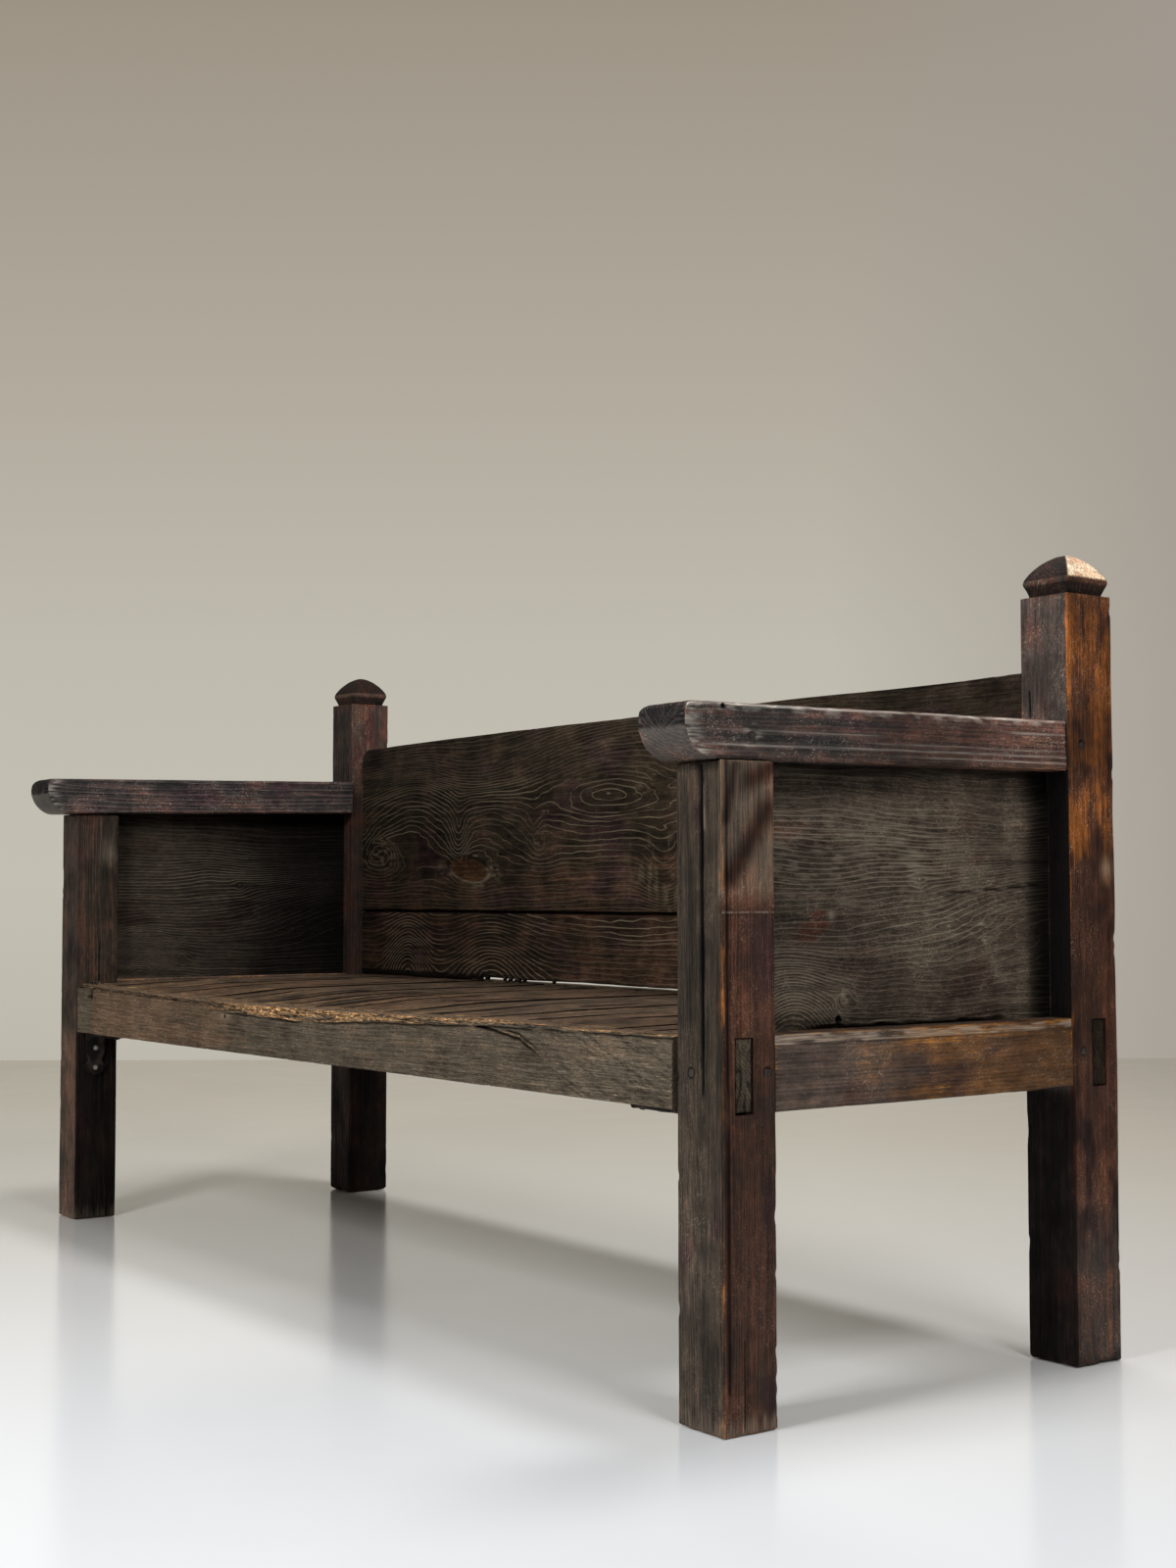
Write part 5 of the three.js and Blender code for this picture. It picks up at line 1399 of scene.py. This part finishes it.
def finish_lower(board):
    """The lower board: lapped under the upper one, with painted shade in the lap and under its lower edge,
    and ragged below, where light comes through.
    """
    x, y, z = (board.start[..., i] for i in range(3))
    board.warm += 0.4
    board.shade += 0.4 * ramp(x, -0.5, 0.0) - 0.3
    arches = ramp(x, -0.86, -0.80) * ramp(x, -0.18, -0.30) + 0.8 * ramp(x, -0.2, -0.05) * ramp(z, 0.51, 0.54)
    board.figure += 0.8 * arches * board.patches(110, 40, 63, -0.9, 0.2)
    # The lap is raised into the gap under the upper board and painted near black as the shade in that gap.
    lap_in_shade = (z > board.high[2] - 1 * MM) & (y > LAP_Y)
    board.p[..., 2] += np.where(lap_in_shade, 6.5 * MM, 0.0)
    board.dirt = np.maximum(board.dirt, lap_in_shade * 0.95)
    lit = np.any([(x > start) & (x < stop) for start, stop in OPEN], axis=0)
    lit |= (y > board.low[1] + 5 * MM) & (x > -0.52) & (x < 0.84)
    drop = np.where(lit, 2.6 * MM + 0.8 * MM * board.noise(60, 1000, 50, 2), 7.3 * MM)
    board.p[..., 2] -= drop * ramp(z, 0.475, 0.4585)
    # Painted shadow along the bottom of the front face, wider at the left.
    shadow = z + 2 * MM * board.noise(30, 1000, 70, 2) - 5 * MM * ramp(x, -0.3, -0.5)
    board.dirt += 0.9 * ramp(shadow, 0.4625, 0.4595) * board.on("-y", 4)
    corner = np.clip(14 * MM - (x - board.low[0]), 0, 14 * MM)
    board.p[..., 2] -= (14 * MM - np.sqrt((14 * MM) ** 2 - corner ** 2 * 0.97)) * ramp(z, 0.54, 0.577)
    return board


for name in ("lower", "upper"):
    drawn_in(f"figured_back_board_{name}", [back_board(name)], back_oak, [f"back_board_{name}"])

# %% [markdown]
# ## The seat
#
# The seat is laid from short boards that run from front to back, nailed down in rebates. They are worn
# hollow towards the front, their joints have opened unevenly, and long splits follow the grain. From a
# low view a joint shows less as a gap than as a step, so each board is a little higher along its right
# side, and one lip of each split is raised. Each board is a timber of its own, squeezed to its slanting
# sides after it is worn.

# %% Seat boards
SEAT_Y = (-0.26145, 0.32095)


def board_edges(i):
    """The left and right edge of a seat board at its front and rear ends."""
    co = np.array([v.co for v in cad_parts[f"seat_board_{i}"].data.vertices])
    front, rear = co[co[:, 1] < SEAT_Y[0] + 1 * MM], co[co[:, 1] > SEAT_Y[1] - 1 * MM]
    edges = [[end[:, 0].min(), end[:, 0].max()] for end in (front, rear)]
    if i == 1:
        edges[0][0] = edges[1][0] = -0.9412
    if i == 8:
        edges[0][1] = edges[1][1] = 0.9412
    return edges


def seat_board(i):
    front, rear = board_edges(i)
    low = np.array([front[0], SEAT_Y[0], 0.429])
    high = np.array([front[1], SEAT_Y[1], RAIL_TOP])
    rng = np.random.default_rng(60 + i)
    cracks = low[0] + (high[0] - low[0]) * (np.array([0.33, 0.70]) + rng.uniform(-0.12, 0.12, 2))
    board = Timber("y", low, high, 30 + i, along=6.4, across=3.3,
                   marks={"x": marks_at(*cracks, radius=3.0)})
    wear(board, radius=1.1, chips=2.0, foot=0.6, uneven=0.8, rub=0.2)
    x, y, z = (board.start[..., k] for k in range(3))
    middle = (low[0] + high[0]) / 2
    pith = RAIL_TOP - 0.08 - 0.012 * (i % 3), middle + (i % 4 - 1.5) * 0.03
    ring_field(board, pith, 5.0, bend=22, seed=30 + i)
    tone(board, {"all": 0.35 + 0.1 * (i % 3)})
    top = board.on("+z", 3)
    height = (z - low[2]) / (high[2] - low[2])
    board.bare += top * (0.16 + 0.32 * board.noise(200, 30, 49)) * ramp(y, 0.2, -0.2)
    board.bare += 0.35 * top * ramp(y, -0.235, -0.262)
    board.shade += rng.uniform(-0.2, 0.25) + 0.12 - 0.2 * ramp(y, 0.05, 0.3) - 0.15 * ramp(middle, 0.3, -0.4)
    lip = rng.uniform(1.0, 2.8) * MM * (0.45 + 0.55 * ramp(y, -0.262, -0.16))
    sunk = seat_drop(x, y) + lip * (1 - (x - low[0]) / (high[0] - low[0])) ** 1.5
    side = np.minimum(x - low[0], high[0] - x)
    board.dirt += 0.95 * ramp(side, 2.6 * MM, 1.2 * MM) * board.patches(90, 1000, 67, -1.6, -0.5)
    board.pale += 0.5 * ramp(high[0] - x, 9 * MM, 3 * MM) * board.patches(60, 3, 68, 0.0, 0.6)
    for k, place in enumerate(cracks):
        begin = rng.uniform(-0.25, -0.02) if k else -0.262
        end = min(begin + rng.uniform(0.14, 0.34), 0.31)
        here = ramp(y, begin, begin + 0.02) * ramp(y, end, end - 0.06)
        raised = 1.5 * MM * ramp(x - place, -0.6 * MM, 0.6 * MM) * ramp(x - place, 34 * MM, 2 * MM)
        sunk = sunk + raised * here
        board.dirt += 0.95 * here * ramp(np.abs(x - place), 1.9 * MM, 0.8 * MM) * top
    board.p[..., 2] -= sunk * height + 1.0 * MM * top * np.abs(board.noise(180, 9, 48, 2))
    across = (x - low[0]) / (high[0] - low[0])
    wander = 7 * MM * noise(board.start * np.array([0, 1, 0]), 130 * MM, 69 + i, 2)
    board.p[..., 0] += wander * 4 * across * (1 - across)
    share = (y - SEAT_Y[0]) / (SEAT_Y[1] - SEAT_Y[0])
    squeeze = 0.35 * MM + 0.2 * MM * board.noise(120, 1000, 51, 2)
    left = front[0] + (rear[0] - front[0]) * share + squeeze
    width = (front[1] - front[0]) + ((rear[1] - rear[0]) - (front[1] - front[0])) * share - 2 * squeeze
    board.p[..., 0] = left + (board.p[..., 0] - low[0]) / (high[0] - low[0]) * width
    return board


for i in range(1, 9):
    drawn_in(f"rubbed_seat_board_{i}", [seat_board(i)], seat_oak, [f"seat_board_{i}"])

# %% [markdown]
# ## Iron
#
# Two forged angles brace the front rail. The smith flattened the bar hot, drew the ends to a leaf and
# punched the holes. Forge scale leaves it dull, dark and slightly pitted. The skin is the CAD shape
# copied, cut into small faces and pressed in and out by a hammer's width.


# %% Forged iron
def forged_iron():
    """Dull black-brown scale with patches of rust, which takes only a dim and broken shine."""
    iron = blank("wrought_iron_forged_black")
    place = add(iron, "TexCoord").outputs["Object"]
    scale_grain = add(iron, "TexNoise", links={"Vector": place}, Scale=1 / (6 * MM), Detail=6.0,
                      Roughness=0.7)
    patch = add(iron, "TexNoise", links={"Vector": place}, Scale=1 / (24 * MM), Detail=3.0)
    rust = add(iron, "MapRange", links={"Value": patch.outputs[0]}, From_Min=0.52, From_Max=0.7, To_Max=0.6)
    colour = add(iron, "Mix", {"data_type": "RGBA"}, {0: rust.outputs[0]},
                 i6=linear("#262220"), i7=linear("#3c261b"))
    rough = add(iron, "MapRange", links={"Value": scale_grain.outputs[0]}, From_Min=0.3, From_Max=0.7,
                To_Min=0.42, To_Max=0.72)
    # The crowns of the strap nails carry a painted highlight: a pale colour with less metal, so they show as
    # two pale dots on the dark iron.
    rubbed = add(iron, "Attribute", {"attribute_name": "rubbed"}).outputs["Fac"]
    skin = add(iron, "Mix", {"data_type": "RGBA"}, {0: rubbed, 6: colour.outputs[2]}, i7=linear("#918c81"))
    scale_metal = add(iron, "MapRange", links={"Value": patch.outputs[0]}, From_Min=0.5, From_Max=0.66,
                      To_Min=0.9, To_Max=0.3)
    metal = add(iron, "Mix", links={0: rubbed, 2: scale_metal.outputs[0]}, i3=0.1)
    bump = add(iron, "Bump", links={"Height": scale_grain.outputs[0]}, Strength=0.5, Distance=0.5 * MM)
    surface = add(iron, "BsdfPrincipled", links={
        "Base Color": skin.outputs[2], "Roughness": rough.outputs[0], "Metallic": metal.outputs[0],
        "Normal": bump.outputs[0]})
    add(iron, "OutputMaterial", links={"Surface": surface.outputs[0]})
    return iron


iron_finish = forged_iron()


def forged_angle(side):
    node = f"iron_angle_{side}"
    shape = bmesh.new()
    shape.from_mesh(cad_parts[node].data)
    bmesh.ops.remove_doubles(shape, verts=shape.verts, dist=0.05 * MM)
    bmesh.ops.dissolve_limit(shape, angle_limit=radians(2), verts=shape.verts, edges=shape.edges)
    mesh = bpy.data.meshes.new(f"forged_angle_{side}")
    shape.to_mesh(mesh)
    shape.free()
    angle = bpy.data.objects.new(f"forged_angle_{side}", mesh)
    bpy.context.scene.collection.objects.link(angle)
    remesh = angle.modifiers.new("cut_small", "REMESH")
    remesh.mode, remesh.voxel_size = "VOXEL", 1.5 * MM
    smooth = angle.modifiers.new("soften", "SMOOTH")
    smooth.factor, smooth.iterations = 0.5, 4
    evaluated = angle.evaluated_get(bpy.context.evaluated_depsgraph_get())
    angle.data = bpy.data.meshes.new_from_object(evaluated)
    angle.modifiers.clear()
    mesh = angle.data
    co = np.array([v.co for v in mesh.vertices])
    normals = np.array([v.normal for v in mesh.vertices])
    co += normals * (0.5 * MM * noise(co, 11 * MM, 81) - 0.3 * MM)[:, None]
    mesh.vertices.foreach_set("co", co.astype(np.float32).ravel())
    mesh.shade_smooth()
    mesh.materials.clear()
    mesh.materials.append(iron_finish)
    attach(angle, "root")
    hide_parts(node)
    return angle


for side in ("left", "right"):
    print(forged_angle(side).name)

# %% [markdown]
# ## Nails and pegs
#
# Twenty-two forged nails and twelve riven pegs hold the bench. They repeat, so Geometry Nodes make them:
# one tree draws a nail, one a peg, and both put a copy at each place of a small list of points, turned
# the way that it was driven. A fixed seed gives each its own turn. The tree ends by making the copies
# real and setting the material, and the result is kept as one plain mesh. The crowns of the nails in the
# straps get a mask of their own, which paints a highlight on them.


# %% A tree that sets copies in place
NAIL_SHANK, NAIL_POINT = 0.38, 0.15
HEAD_DENTS = 2.2 * MM


def fastener_tree(name, is_nail):
    """Copies of a nail or a peg on points, each turned to the point's attribute 'driven'."""
    tree = bpy.data.node_groups.new(name, "GeometryNodeTree")
    kinds = {"Geometry": "Geometry", "Radius": "Float", "Length": "Float", "Head": "Float", "Seed": "Int",
             "Material": "Material"}
    for label, kind in kinds.items():
        tree.interface.new_socket(label, in_out="INPUT", socket_type="NodeSocket" + kind)
    tree.interface.new_socket("Geometry", in_out="OUTPUT", socket_type="NodeSocketGeometry")
    given = add(tree, "NodeGroupInput").outputs
    out = add(tree, "NodeGroupOutput")
    radii = [given["Radius"]] * 2
    if is_nail:
        radii = [add(tree, "Math", {"operation": "MULTIPLY"}, {0: given["Radius"]}, i1=share).outputs[0]
                 for share in (NAIL_SHANK, NAIL_POINT)]
    shaft = add(tree, "GeometryNodeMeshCone", links={"Depth": given["Length"], "Radius Top": radii[0],
                                                     "Radius Bottom": radii[1]},
                Vertices=6 if is_nail else 10, Side_Segments=6)
    down = add(tree, "Math", {"operation": "MULTIPLY"}, {0: given["Length"]}, i1=-1.0)
    offset = add(tree, "CombineXYZ", links={"Z": down.outputs[0]})
    sunk = add(tree, "GeometryNodeTransform", links={"Geometry": shaft.outputs["Mesh"],
                                                     "Translation": offset.outputs[0]})
    joined = add(tree, "GeometryNodeJoinGeometry", links={0: sunk.outputs[0]})
    ball = add(tree, "GeometryNodeMeshIcoSphere", links={"Radius": given["Radius"]}, Subdivisions=3)
    share = add(tree, "Math", {"operation": "DIVIDE"}, {0: given["Head"], 1: given["Radius"]})
    squash = add(tree, "CombineXYZ", links={"Z": share.outputs[0]}, X=1.0, Y=1.0)
    flat = add(tree, "GeometryNodeTransform",
               links={"Geometry": ball.outputs["Mesh"], "Scale": squash.outputs[0]})
    rough = add(tree, "TexNoise", Scale=1 / (3 * MM), Detail=1.0)
    centred = add(tree, "VectorMath", {"operation": "SUBTRACT"}, {0: rough.outputs["Color"]},
                  i1=(0.5, 0.5, 0.5))
    small = add(tree, "VectorMath", {"operation": "SCALE"}, {0: centred.outputs[0]}, Scale=HEAD_DENTS)
    dented = add(tree, "GeometryNodeSetPosition",
                 links={"Geometry": flat.outputs[0], "Offset": small.outputs[0]})
    tree.links.new(dented.outputs[0], joined.inputs[0])
    driven = add(tree, "GeometryNodeInputNamedAttribute", {"data_type": "FLOAT_VECTOR"}, Name="driven")
    aimed = add(tree, "FunctionNodeAlignRotationToVector", {"axis": "Z"}, {"Vector": driven.outputs[0]})
    chance = add(tree, "FunctionNodeRandomValue", {"data_type": "FLOAT"}, {"Seed": given["Seed"]},
                 i2=0.0, i3=2 * pi)
    spin = add(tree, "FunctionNodeAxisAngleToRotation", links={"Angle": chance.outputs[1]})
    turned = add(tree, "FunctionNodeRotateRotation", {"rotation_space": "LOCAL"},
                 {0: aimed.outputs[0], 1: spin.outputs[0]})
    copies = add(tree, "GeometryNodeInstanceOnPoints", links={
        "Points": given["Geometry"], "Instance": joined.outputs[0], "Rotation": turned.outputs[0]})
    real = add(tree, "GeometryNodeRealizeInstances", links={0: copies.outputs[0]})
    painted = add(tree, "GeometryNodeSetMaterial", links={"Geometry": real.outputs[0],
                                                          "Material": given["Material"]})
    tree.links.new(painted.outputs[0], out.inputs[0])
    return tree


def set_in_place(name, tree, spots, sizes, material, nodes):
    """Runs a tree on a list of (place, direction) and keeps the result as a plain piece."""
    mesh = bpy.data.meshes.new(name)
    mesh.from_pydata([tuple(place) for place, _ in spots], [], [])
    driven = mesh.attributes.new("driven", "FLOAT_VECTOR", "POINT")
    driven.data.foreach_set("vector", np.array([tuple(d) for _, d in spots], np.float32).ravel())
    piece = bpy.data.objects.new(name, mesh)
    bpy.context.scene.collection.objects.link(piece)
    modifier = piece.modifiers.new("set", "NODES")
    modifier.node_group = tree
    for item in tree.interface.items_tree:
        if item.in_out == "INPUT" and item.name in sizes:
            modifier[item.identifier] = sizes[item.name]
        if item.in_out == "INPUT" and item.name == "Material":
            modifier[item.identifier] = material
    evaluated = piece.evaluated_get(bpy.context.evaluated_depsgraph_get())
    made = bpy.data.meshes.new_from_object(evaluated)
    piece.modifiers.clear()
    piece.data = made
    if not made.materials:
        made.materials.append(material)
    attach(piece, "root")
    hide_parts(*nodes)
    print(f"{name}: {len(spots)} copies, {len(made.vertices)} points")
    return piece


# %% Nails
nail_nodes = sorted(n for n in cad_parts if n.startswith("nail_"))
nail_spots = []
for name in nail_nodes:
    low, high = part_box(name)
    middle = (low + high) / 2
    if "seat" in name:
        x = middle.x
        worn = 0.8 * MM if "rear" in name else (RAIL_TOP - float(crest(x))) * 0.8 + 3.2 * MM
        nail_spots.append((Vector((x, middle.y, high.z - 1.2 * MM - worn)), Vector((0, 0, 1))))
    elif "leg" in name:
        nail_spots.append((Vector((middle.x, middle.y, low.z + 2.4 * MM)), Vector((0, 0, -1))))
    else:
        sign = -1 if name.endswith("left") else 1
        face = high.x - 2.4 * MM if sign < 0 else low.x + 2.4 * MM
        nail_spots.append((Vector((face, middle.y, middle.z)), Vector((-sign, 0, 0))))
nail_tree = fastener_tree("forged_nail_tree", True)
nail_sizes = {"Radius": 6.3 * MM, "Length": 42 * MM, "Head": 2.3 * MM, "Seed": 5}
nails = set_in_place("forged_nails", nail_tree, nail_spots, nail_sizes, iron_finish, nail_nodes)
nail_points = np.array([v.co for v in nails.data.vertices])
# A painted highlight on the crowns of the strap nails, the ones that were driven sideways.
crown = np.zeros(len(nail_points))
for place, way in nail_spots:
    if abs(way.x) > 0.5:
        away = nail_points - np.array(place)
        crown = np.maximum(crown, ramp(away @ np.array(way), 0.9 * MM, 1.7 * MM)
                           * ramp(np.linalg.norm(away, axis=1), 6 * MM, 3.5 * MM))
nails.data.attributes.new("rubbed", "FLOAT", "POINT").data.foreach_set("value", crown.astype(np.float32))
print("bright points on the nails", int((crown > 0.5).sum()))

# %% Pegs
peg_nodes = sorted(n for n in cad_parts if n.startswith("peg_"))
# Nearly black end grain: a small dark dot beside each joint.
peg_oak = old_oak("oak_peg_riven_end_grain", "x", "#2b241e #33241b #1a1110 #4b4137 #6a4a2c #6d6256",
                  shine=0.5, lines=0.0)
peg_spots = []
for name in peg_nodes:
    low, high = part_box(name)
    middle = (low + high) / 2
    size = high - low
    if size.y > size.x:
        front = "front_rail" in name
        peg_spots.append((Vector((middle.x, low.y + 0.9 * MM if front else high.y - 0.9 * MM, middle.z)),
                          Vector((0, -1 if front else 1, 0))))
    else:
        sign = -1 if name.endswith("left") else 1
        peg_spots.append((Vector((sign * (max(abs(low.x), abs(high.x)) - 0.9 * MM), middle.y, middle.z)),
                          Vector((sign, 0, 0))))
peg_tree = fastener_tree("riven_peg_tree", False)
peg_sizes = {"Radius": 5.3 * MM, "Length": 48 * MM, "Head": 1.4 * MM, "Seed": 8}
set_in_place("riven_pegs", peg_tree, peg_spots, peg_sizes, peg_oak, peg_nodes)
